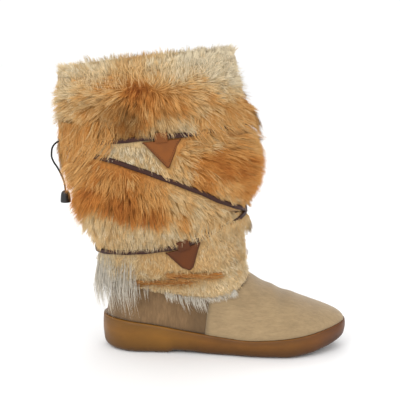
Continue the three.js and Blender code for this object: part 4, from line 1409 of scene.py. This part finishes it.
def trim_reach(puff, angle, surface, comb, reach, lead, rng):
    """Shortens locks that would hang too far over the lace below, past the hem or across a fold."""
    count = len(reach)
    below, _ = BANDS.get(puff, (None, None))
    if below:
        stray = surface[:, 0] + rng.normal(0, 5, count)[lead]
        over = read(COVER[below], "x", "over", stray) + rng.uniform(-1.5, 2.0, count)
        tip = surface + comb * reach[:, None]
        start = surface[:, 2] - tie_height(below, angle) + over
        end = tip[:, 2] - tie_height(below, angle_at(tip, HAIR_OFF_WALL)) + over
        reach = reach * np.where(end < 0, np.clip(start / np.maximum(start - end, 1e-6), 0.12, 1), 1.0)
    if puff == "ankle":
        hem_z = wall_point(angle, hem_level(angle))[:, 2]
        drop = surface[:, 2] - hem_z + rng.uniform(0.5, 4.0, count)
        fall = np.maximum(-comb[:, 2], 0.2)
        reach = np.minimum(reach, np.maximum(drop, 3.0) / fall)
        for above, full in fold_places(surface):
            short = np.minimum(reach, np.maximum(above - 0.8, 1.5) / fall)
            reach = np.where((above > 0) & (full > 0.3), short, reach)
    return reach


def clear_of_fittings(points, rng):
    """Which locks stay off the tabs and the bell."""
    keep = np.ones(len(points), bool)
    for name in TABS:
        corners = Tab(name, False).corners()
        keep &= inside_triangle(points[:, 0], corners, 2.0) < 0
        for spot in (1, 2):
            deep = inside_triangle(points[:, spot], corners, 0.0)
            keep &= deep < rng.uniform(0.0, 3.0, len(points))
    bell = CORD_ROUTE[-1] - np.array([0, 0, BELL_HEIGHT / 2])
    for spot in (1, 2):
        keep &= np.linalg.norm((points[:, spot] - bell)[:, [0, 2]], axis=1) > BELL_RADIUS + 2.5
    return keep


def lay_hair(puff, count, rng, width, clumping, under):
    """Locks of one puff: root, middle and tip, laid along the comb and kept off the lace and the tabs.
    The locks of the wool under the hair are shorter and lie flatter."""
    angle, share = scatter(puff, count, rng)
    surface = fur_surface(puff, angle, share)
    normals = fur_normals(puff, angle, share)
    lead = clump_leaders(surface, rng)
    side, lift, length, warmth, tint = read_comb(puff, surface)
    root = surface - normals * fur_sink(puff, angle, share)[:, None] * (0.8 if under else 1.0)
    comb, outwards = comb_lines(puff, angle, share, normals, side, lead, rng)
    guard = (rng.random(count) < 0.1) & (not under)
    reach = length * rng.uniform(0.82, 1.2, count)[lead] * rng.uniform(0.75, 1.12, count)
    reach = reach * sizes().hair_length
    reach = reach * np.where(guard, 0.75, 0.4 if under else 0.6) * (1 - 0.5 * outwards)
    reach = trim_reach(puff, angle, surface, comb, reach, lead, rng)
    stand = 4 * lift - 1 + rng.normal(0, 1.2, count)[lead] + rng.normal(0, 0.8, count)
    stand += np.where(guard, 2.5, 0) - (2.5 if under else 0)
    jag = 8 * rng.random(count)[lead] ** 2 + 5 * rng.random(count) ** 3 - 1.5
    stand += outwards * jag * (0.3 if under else 1.0)
    tip = surface + comb * reach[:, None]
    if puff == "rim":
        ends = np.abs(np.cos(angle)) ** 3
        tip += normals * ((1 + stand) * (0.25 + 0.75 * np.clip(normals[:, 2], 0, 1)) - 3 * ends)[:, None]
    elif puff == "ankle":
        tip += normals * (0.4 * stand)[:, None]
    else:
        tip = settle(tip, stand, lerp(0.9, 0.35, smooth(0.3 - share, 0, 0.3)))
    middle = lerp(root, tip, 0.5) + normals * (0.8 + 0.08 * reach)[:, None]
    points = np.stack([root, middle, tip], 1)
    draw_together(points, root, lead, clumping)
    # Brightness varies at random from tuft to tuft and is scaled by the comb's tone, which paints shade
    glow = (0.94 + rng.normal(0, 0.06, count)[lead]) * tint
    # Painted shade in the ankle folds: darker and warmer hair along them
    if puff == "ankle":
        fold = ankle_fold(surface)
        warmth, glow = warmth + 0.14 * fold, glow * (1 - 0.12 * fold)
    hue = rng.normal(0, 0.08, count)[lead] + rng.normal(0, 0.05, count)
    # Roots darker as painted shade between the hairs, tips a little lighter as painted light
    shade_root = fur_colours(np.clip(warmth + hue + 0.08, 0, 1)) * (0.66 * glow)[:, None]
    shade_tip = fur_colours(np.clip(warmth + hue - 0.06, 0, 1)) * (1.04 * glow)[:, None]
    keep = clear_of_fittings(points, rng)
    wide = width * rng.uniform(0.75, 1.3, count)
    locks = (points, normals, wide, np.clip(shade_root, 0, 1), np.clip(shade_tip, 0, 1))
    return tuple(item[keep] for item in locks)


def pelt_loops(columns=150):
    """The dense fur as one closed ring: puffs up the outside, over the rim and down the wall."""
    angle = around(columns)
    loops, colour_with_painted_shade = [], []
    for puff, rows in (("ankle", 12), ("rear", 18), ("front", 18), ("cuff", 20), ("rim", 10)):
        for share in np.linspace(0, 1, rows):
            edge = math.sin(math.pi * share)
            sink = fur_sink(puff, angle, share)
            points = fur_surface(puff, angle, share, sink * (0.25 + 0.75 * edge))
            _, _, _, warmth, tint = read_comb(puff, points)
            loops.append(points)
            # The pelt is darkened as painted shade between the hairs, and by the comb's tone
            colour_with_painted_shade.append(fur_colours(np.clip(warmth + 0.1, 0, 1)) * (0.66 * tint)[:, None])
    hem = hem_level(angle)
    for share in np.linspace(1, 0, 10):
        loops.append(off_wall(angle, lerp(hem, 2.0, share), GAP))
        # The rows down the inside of the wall are darker still: painted shade
        colour_with_painted_shade.append(colour_with_painted_shade[-1] if share < 1 else colour_with_painted_shade[-1] * 0.8)
    return np.array(loops), np.array(colour_with_painted_shade)


# Each puff: number of bent locks, of straight locks under them, width factor, how far tips draw together
HAIR = {
    "ankle": (8500, 9000, 0.8, 0.3),
    "rear": (12500, 15000, 1.0, 0.45),
    "front": (11000, 12500, 1.0, 0.45),
    "cuff": (13000, 15000, 1.0, 0.45),
    "rim": (5500, 4500, 0.9, 0.4),
}
# Hair over the lace: puff, count, degrees from the front where it is full and where it ends, share of the
# puff's height, length down, lean towards the toe, warmth
DRAPES = (
    ("cuff", 2500, 180, 110, (0.02, 0.3), (20, 46), -0.5, 0.55),
    ("cuff", 2100, 0, 66, (0.02, 0.26), (12, 30), 0.5, 0.5),
    ("rear", 2000, 0, 60, (0.04, 0.36), (14, 32), 0.25, 0.3),
)
# Long hair at the heel and the hem: count, degrees from the front where it is full and where it ends, share
# of the ankle's puff, length, lean towards the toe
WISPS = (
    (700, 180, 118, (0.35, 1.0), (18, 52), 0.0),
    (240, 180, 114, (0.0, 0.4), (10, 28), 0.02),
    (260, 106, 82, (0, 0.08), (6, 18), 0.12),
    (80, 80, 98, (0, 0.06), (14, 30), 0.3),
    (260, 50, 84, (0, 0.05), (5, 10), 0.5),
)


def spread_angles(rng, count, full, end, thinning):
    """Angles on both sides of the boot, dense at one place and thinning out to another."""
    angle = np.radians(lerp(full, end, rng.beta(1.0, thinning, count)))
    return np.where(rng.random(count) < 0.5, angle, 2 * np.pi - angle)


def gathered(groups, width):
    """Groups of points, normals, root colours and tip colours as one set of locks."""
    points, normals, roots, tips = (np.concatenate(part) for part in zip(*groups))
    return points, normals, width, roots, tips


def drapes(rng):
    """Hair that hangs in tufts from a puff over the lace below it."""
    groups = []
    for puff, count, full, end, rise, reach, lean, warmth in DRAPES:
        angle = spread_angles(rng, count, full, end, 1.7)
        root = fur_surface(puff, angle, rng.uniform(*rise, count), 2.5)
        lead = clump_leaders(root, rng)
        drop = rng.uniform(*reach, count)[lead] * rng.uniform(0.75, 1.15, count)
        lean = lean + rng.normal(0, 0.16, count) + rng.normal(0, 0.2, count)[lead]
        tuft = rng.random(count)[lead] ** 1.5
        line = [root]
        for part in (0.5, 1.0):
            spot = root + np.stack([lean * drop * part, np.zeros(count), -drop * part], -1)
            turned = angle_at(spot, HAIR_OFF_WALL)
            level = leg_level(spot[:, 2], turned)
            jag = 10 * (2 * part - 1) * np.abs(np.cos(turned)) ** 3
            over = rng.uniform(0.8, 2.8, count) + jag * tuft * rng.uniform(0.6, 1, count)
            line.append(off_wall(turned, level, fur_depth(turned, level) + over))
        locks = np.stack(line, 1)
        draw_together(locks, root, lead, TUFT_CLUMPING)
        hue = np.clip(warmth + rng.normal(0, 0.1, count), 0, 1)
        # Roots darker as painted shade between the hairs, and the tips a little darker as painted shade under
        # the puff
        roots = fur_colours(np.clip(hue + 0.1, 0, 1)) * 0.74
        groups.append((locks, wall_out(angle, MID_LEG), roots, fur_colours(hue) * 0.92))
    return gathered(groups, rng.uniform(*LOCK_WIDTHS, sum(row[1] for row in DRAPES)))


def crown(rng, count=2800):
    """Hair that rises from the top of the cuff over the edge of the rim."""
    angle = rng.uniform(0, 2 * np.pi, count)
    root = fur_surface("cuff", angle, 1 - 0.26 * rng.random(count) ** 1.5, 4.0)
    lead = clump_leaders(root, rng)
    side = read_comb("rim", root)[0]
    side = unit(side + (rng.normal(0, 0.24, (count, 2)) + rng.normal(0, 0.3, (count, 2))[lead]) * (1, 0.4))
    rise = rng.uniform(6, 17, count)
    line = [root]
    for part in (0.5, 1.0):
        spot = root + np.stack([side[:, 0], np.zeros(count), side[:, 1]], -1) * (rise * part)[:, None]
        turned = angle_at(spot, HAIR_OFF_WALL)
        level = np.minimum(leg_level(spot[:, 2], turned), 2 + rng.uniform(0.02, 0.055, count))
        over = np.arcsin(np.clip((level - 2) / RIM_RISE, 0, 1))
        below = np.maximum(fur_depth(turned, level), RIM_THICKNESS + 1.0)
        depth = np.where(level > 2, rim_depth(over), below)
        ends = np.abs(np.cos(turned)) ** 3
        line.append(off_wall(turned, level, depth + rng.uniform(-0.8, 1.5, count) - 4 * ends))
    places = (("cuff", root), ("rim", line[2]))
    warmth = [read_comb(puff, spot)[3] + rng.normal(0, 0.07, count) for puff, spot in places]
    glow = (0.96 + rng.normal(0, 0.06, count)[lead])[:, None]
    tints = [fur_colours(np.clip(value, 0, 1)) * glow for value in warmth]
    normals = wall_out(angle, 1.8)
    # Roots darker as painted shade between the hairs
    return np.stack(line, 1), normals, rng.uniform(*LOCK_WIDTHS, count), tints[0] * 0.72, tints[1] * 1.02


def creases(rng, count=700):
    """Dark rust hair laid along the folds of the ankle fur, on both sides, as painted shade in the folds."""
    angle, share = np.meshgrid(np.linspace(0.3, 2.7, 300), np.linspace(0.0, 0.75, 90))
    spots = fur_surface("ankle", angle, share).reshape(-1, 3)
    tree = kdtree.KDTree(len(spots))
    for k, (x, _, z) in enumerate(spots):
        tree.insert((x, 0, z), k)
    tree.balance()
    points, normals = [], []
    for rear, low, fore, high, half, _ in ANKLE_FOLDS:
        x = rear + 6 + (fore - rear - 22) * rng.random(count)
        length = rng.uniform(4, 11, count)
        offset = rng.normal(0, 0.5 * half, count)
        line = []
        for part in (0.0, 0.5, 1.0):
            along = x + length * part
            z = lerp(low, high, (along - rear) / (fore - rear)) + offset + rng.normal(0, 0.2 * half, count)
            near = np.array([tree.find((a, 0, b))[1] for a, b in zip(along, z)])
            turned, level = angle.ravel()[near], share.ravel()[near]
            out = fur_normals("ankle", turned, level)
            line.append(spots[near] + out * (1.1 * math.sin(math.pi * min(part + 0.2, 1)) - 0.4))
        points.append(np.stack(line, 1))
        normals.append(out)
    points, normals = np.concatenate(points), np.concatenate(normals)
    mirror = np.where(rng.random(len(points)) < 0.5, 1.0, -1.0)
    points[..., 1] *= mirror[:, None]
    normals[:, 1] *= mirror
    # Darkened and warmed as painted shade in the folds, roots darker still
    glow = rng.uniform(0.45, 0.8, len(points))[:, None]
    tint = fur_colours(np.clip(rng.normal(0.72, 0.16, len(points)), 0, 1)) * glow
    return points, normals, rng.uniform(0.34, 0.55, len(points)), tint * 0.8, tint


def wisps(rng):
    """Long white hair down the heel and grey hair from the hem over the quarter."""
    groups = []
    white = np.array(tuple(colours().fur_white))
    for count, full, end, rise, reach, lean in WISPS:
        angle = spread_angles(rng, count, full, end, 1.35)
        share = rng.uniform(*rise, count)
        out = wall_out(angle, fur_at("ankle", angle, share)[0])
        root = fur_surface("ankle", angle, share, 0.2)
        length = rng.uniform(*reach, count) * (0.75 + 0.5 * share)
        down = unit(np.array([lean, 0.0, -1.0]) + rng.normal(0, 0.06, (count, 3)))
        tangent = unit(down - out * (down * out).sum(-1, keepdims=True))
        middle = root + unit(tangent + out * 0.22) * (length * 0.5)[:, None]
        tip = root + unit(tangent + out * 0.05) * length[:, None]
        tint = white * rng.uniform(0.66, 1.04, count)[:, None]
        # Roots darker as painted shade between the hairs
        groups.append((np.stack([root, middle, tip], 1), out, tint * 0.66, tint))
    return gathered(groups, np.full(sum(row[0] for row in WISPS), WISP_WIDTH))


HAIR_EXTRAS = {
    "fur_hair_wisps": wisps, "fur_hair_drapes": drapes, "fur_hair_crown": crown, "fur_hair_fold_shade": creases,
}


# Operators


class BOOT_OT_camera(bpy.types.Operator):
    """Puts the camera where the boot is seen from its outer side."""

    bl_idname = "boot.camera"
    bl_label = "Camera"

    def execute(self, context):
        stage = context.scene.boot_stage
        azimuth, elevation = stage.azimuth, stage.elevation
        flat = math.cos(elevation)
        back = Vector((math.sin(azimuth) * flat, -math.cos(azimuth) * flat, math.sin(elevation)))
        data = bpy.data.cameras.new("boot_camera")
        data.lens = stage.lens
        data.sensor_width = SENSOR_WIDTH
        data.shift_x, data.shift_y = LENS_SHIFT
        data.clip_start, data.clip_end = 0.05, 50
        camera = bpy.data.objects.new("boot_camera", data)
        camera.location = Vector((0, 0, stage.aim_height)) + back * stage.distance
        camera.rotation_euler = (-back).to_track_quat("-Z", "Y").to_euler()
        context.scene.collection.objects.link(camera)
        context.scene.camera = camera
        return {"FINISHED"}


class BOOT_OT_draw_cord(bpy.types.Operator):
    """Makes the limp draw cord at the back and its bell end."""

    bl_idname = "boot.draw_cord"
    bl_label = "Draw cord"

    def execute(self, context):
        route = placed(smooth_route(CORD_ROUTE, 36))
        curve = bpy.data.curves.new("black_draw_cord", "CURVE")
        curve.dimensions = "3D"
        curve.bevel_depth = CORD_DIAMETER / 2 * MM
        curve.bevel_resolution = 3
        curve.use_fill_caps = True
        spline = curve.splines.new("POLY")
        spline.points.add(len(route) - 1)
        for point, place in zip(spline.points, route):
            point.co = (*place, 1)
        spline.use_smooth = True
        cord = bpy.data.objects.new("black_draw_cord", curve)
        context.scene.collection.objects.link(cord)
        curve.materials.append(thread_material("elastic_cord", colours().black, 420.0))
        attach(cord, "root")
        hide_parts("draw_cord")

        mouth = BELL_RADIUS - 1.6
        profile = (
            (0, 0), (1.2, 0), (1.9, -0.15), (2.9, -0.6), (3.6, -1.2), (4.3, -2.3), (4.8, -3.6), (5.2, -6),
            (5.5, -9.2), (BELL_RADIUS, -11.4), (BELL_RADIUS, -12.6), (5.4, -BELL_HEIGHT),
            (mouth + 0.3, -BELL_HEIGHT), (mouth, -12.7), (mouth - 0.5, -10), (0, -10),
        )
        end = CORD_ROUTE[-1] - np.array([0, 0, SEAT_GAP])
        bm = bmesh.new()
        spots = [bm.verts.new(placed(end + np.array([r, 0, z]))) for r, z in profile]
        edges = [bm.edges.new(pair) for pair in zip(spots, spots[1:])]
        turn = {"axis": (0, 0, 1), "angle": 2 * math.pi, "steps": 32, "use_merge": True}
        bmesh.ops.spin(bm, geom=spots + edges, cent=placed(end), **turn)
        bmesh.ops.remove_doubles(bm, verts=bm.verts, dist=1e-6)
        bmesh.ops.recalc_face_normals(bm, faces=bm.faces)
        bell = add_bmesh("black_bell", bm, bell_material(), ("cord_bell",))
        return {"FINISHED"}


class BOOT_OT_sole(bpy.types.Operator):
    """Makes the gum wedge sole and the felt footbed on it."""

    bl_idname = "boot.sole"
    bl_label = "Sole and footbed"

    def execute(self, context):
        add_bmesh("gum_sole", sole_bmesh(), gum_material(), ("outsole",))
        add_bmesh("felt_footbed", footbed_bmesh(), felt_material(), ("insole",))
        return {"FINISHED"}


class BOOT_OT_upper(bpy.types.Operator):
    """Makes the hollow wall of the boot: napped quarter outside, pile lining inside."""

    bl_idname = "boot.upper"
    bl_label = "Upper"

    def execute(self, context):
        bm = upper_bmesh()
        quarter = nap_material("quarter_nap", colours().quarter, (1, 1, 0.22), (0, 0.08, 0), 260, 0.3, 0.55)
        for face in bm.faces:
            middle = face.calc_center_median()
            axis = Vector((-0.045, 0, middle.z))
            face.material_index = 1 if face.normal.dot(middle - axis) < 0 else 0
        add_bmesh("leather_upper", bm, (quarter, lining_material()), ("upper",))
        return {"FINISHED"}


class BOOT_OT_vamp(bpy.types.Operator):
    """Makes the short-haired vamp with its creases."""

    bl_idname = "boot.vamp"
    bl_label = "Vamp"

    def execute(self, context):
        hide = nap_material("vamp_hide", colours().vamp, (0.24, 1, 1), (0, -0.55, 0), 330, 0.16, 0.5)
        add_bmesh("hide_vamp", vamp_bmesh(), hide, ("vamp",))
        return {"FINISHED"}


class BOOT_OT_lace(bpy.types.Operator):
    """Winds the flat leather lace round the fur in its three runs."""

    bl_idname = "boot.lace"
    bl_label = "Lace"

    def execute(self, context):
        bm = joined([lace_run(tie) for tie in ("lower", "cross", "upper")])
        base = colours().lace
        leather = leather_material("lace_leather", base, 700, 0.55, 0.5, tone(base, 0.5))
        add_bmesh("leather_lace", bm, leather, ("lace",))
        return {"FINISHED"}


class BOOT_OT_tabs(bpy.types.Operator):
    """Makes the four leather tabs with their keepers and stitches."""

    bl_idname = "boot.tabs"
    bl_label = "Tabs"

    def execute(self, context):
        base = colours().tab
        stitches = []
        # The lower tabs get a darker copy of the leather: painted shade under the rear puff
        for name, painted_shade in (("upper", (1.0, 1.0, 1.0)), ("lower", (0.49, 0.41, 0.3))):
            shade_of = tuple(channel * share for channel, share in zip(base, painted_shade))
            leather = leather_material(f"tab_leather_{name}", shade_of, 900, 0.55, 0.3, tone(shade_of, 0.3))
            for side, mirrored in TAB_SIDES.items():
                tab = Tab(name, mirrored)
                bm = joined([tab.plate(), tab.keeper()])
                add_bmesh(f"leather_tab_{name}_{side}", bm, leather, (f"tab_{name}_{side}",))
                stitches += tab.stitches()
        thread = thread_material("tab_thread", colours().thread, 900.0)
        add_bmesh("tab_stitches", joined(stitches), thread)
        return {"FINISHED"}


class BOOT_OT_pelt(bpy.types.Operator):
    """Makes the dense fur under the hair, with its puffs, rim and hem."""

    bl_idname = "boot.pelt"
    bl_label = "Pelt"

    def execute(self, context):
        loops, colour_with_painted_shade = pelt_loops()
        channels = ("red", "green", "blue")
        marks = {name: colour_with_painted_shade[..., k] for k, name in enumerate(channels)}
        bm = skin(placed(loops), close_stack=True, marks=marks)
        layers = [bm.verts.layers.float[name] for name in channels]
        values = np.array([[v[layer] for layer in layers] + [1.0] for v in bm.verts], np.float32)
        for name in channels:
            bm.verts.layers.float.remove(bm.verts.layers.float[name])
        pelt = add_bmesh("fur_pelt", bm, pelt_material(), ("fur_shaft",))
        colour = pelt.data.attributes.new("hair", "FLOAT_COLOR", "POINT")
        colour.data.foreach_set("color", values.ravel())
        return {"FINISHED"}


class BOOT_OT_hair(bpy.types.Operator):
    """Combs the hair of each puff over the pelt, with the longer hair at rim, lace, hem and heel."""

    bl_idname = "boot.hair"
    bl_label = "Hair"

    def execute(self, context):
        material = hair_material("fur_hair")
        size = sizes()
        for k, (puff, (bent, straight, wide, clumping)) in enumerate(HAIR.items()):
            rng = np.random.default_rng(SEED + k)
            width = size.hair_width / MM * wide
            groups = [
                (is_bent, lay_hair(puff, int(count * size.hair_amount), rng, width, clumping, not is_bent))
                for is_bent, count in ((True, bent), (False, straight))
            ]
            add_piece(f"fur_hair_{puff}", hair_mesh(f"fur_hair_{puff}", groups), material)
        for k, (name, make) in enumerate(HAIR_EXTRAS.items()):
            locks = make(np.random.default_rng(EXTRA_SEED + k))
            add_piece(name, hair_mesh(name, [(True, locks)]), material)
        return {"FINISHED"}


class BOOT_OT_stage(bpy.types.Operator):
    """Sets the pale floor, the white surround and the soft light."""

    bl_idname = "boot.stage"
    bl_label = "Stage"

    def execute(self, context):
        scene = context.scene
        bm = bmesh.new()
        bmesh.ops.create_circle(bm, cap_ends=True, segments=64, radius=FLOOR_RADIUS)
        bmesh.ops.translate(bm, verts=bm.verts, vec=(0, 0, -FLOOR_DROP))
        mesh = bpy.data.meshes.new("stage_floor")
        bm.to_mesh(mesh)
        bm.free()
        floor = bpy.data.objects.new("stage_floor", mesh)
        scene.collection.objects.link(floor)
        pale, tree, shader = new_material("pale_floor", roughness=0.9, specular_ior_level=0.1)
        cloud = noise(tree, object_space(tree), 3.0, 2)
        tree.links.new(ramp(tree, cloud, (0.3, 0.94), (0.7, 0.96)), shader.inputs["Base Color"])
        mesh.materials.append(pale)

        world = bpy.data.worlds.new("white_surround")
        world.use_nodes = True
        surround = world.node_tree.nodes["Background"]
        surround.inputs["Color"].default_value = (1, 1, 1, 1)
        surround.inputs["Strength"].default_value = scene.boot_stage.sky
        scene.world = world
        scene.view_settings.view_transform = "Standard"
        power = scene.boot_stage.key_power
        lamps = (
            ("key", (-0.7, -1.5, 1.3), 1.1, power),
            ("fill", (1.2, -1.3, 0.8), 1.3, power * 0.4),
            ("back", (0.2, 1.4, 1.5), 1.4, power * 0.5),
        )
        for name, place, size, watts in lamps:
            data = bpy.data.lights.new(f"stage_{name}", "AREA")
            data.shape = "DISK"
            data.size = size
            data.energy = watts
            lamp = bpy.data.objects.new(f"stage_{name}", data)
            lamp.location = place
            lamp.rotation_euler = (Vector(LIGHT_AIM) - Vector(place)).to_track_quat("-Z", "Y").to_euler()
            scene.collection.objects.link(lamp)
        return {"FINISHED"}


STEPS = (
    BOOT_OT_camera, BOOT_OT_draw_cord, BOOT_OT_sole, BOOT_OT_upper, BOOT_OT_vamp, BOOT_OT_lace, BOOT_OT_tabs,
    BOOT_OT_pelt, BOOT_OT_hair, BOOT_OT_stage,
)


class BOOT_PT_panel(bpy.types.Panel):
    """Lists the boot's sizes, colours and steps."""

    bl_idname = "BOOT_PT_panel"
    bl_label = "Fur Winter Boot"
    bl_space_type = "VIEW_3D"
    bl_region_type = "UI"
    bl_category = "Boot"

    def draw(self, context):
        for group in (context.scene.boot_sizes, context.scene.boot_colours, context.scene.boot_stage):
            column = self.layout.column(align=True)
            for name in group.__annotations__:
                column.prop(group, name)
        for step in STEPS:
            self.layout.operator(step.bl_idname)


GROUPS = {"boot_sizes": BootSizes, "boot_colours": BootColours, "boot_stage": BootStage}


def register():
    for group in GROUPS.values():
        bpy.utils.register_class(group)
    for name, group in GROUPS.items():
        setattr(bpy.types.Scene, name, bpy.props.PointerProperty(type=group))
    for item in (*STEPS, BOOT_PT_panel):
        bpy.utils.register_class(item)


def unregister():
    for item in reversed((*STEPS, BOOT_PT_panel)):
        bpy.utils.unregister_class(item)
    for name, group in GROUPS.items():
        delattr(bpy.types.Scene, name)
        bpy.utils.unregister_class(group)


def main():
    register()
    for step in STEPS:
        group, name = step.bl_idname.split(".")
        getattr(getattr(bpy.ops, group), name)()


if __name__ == "__main__":
    main()
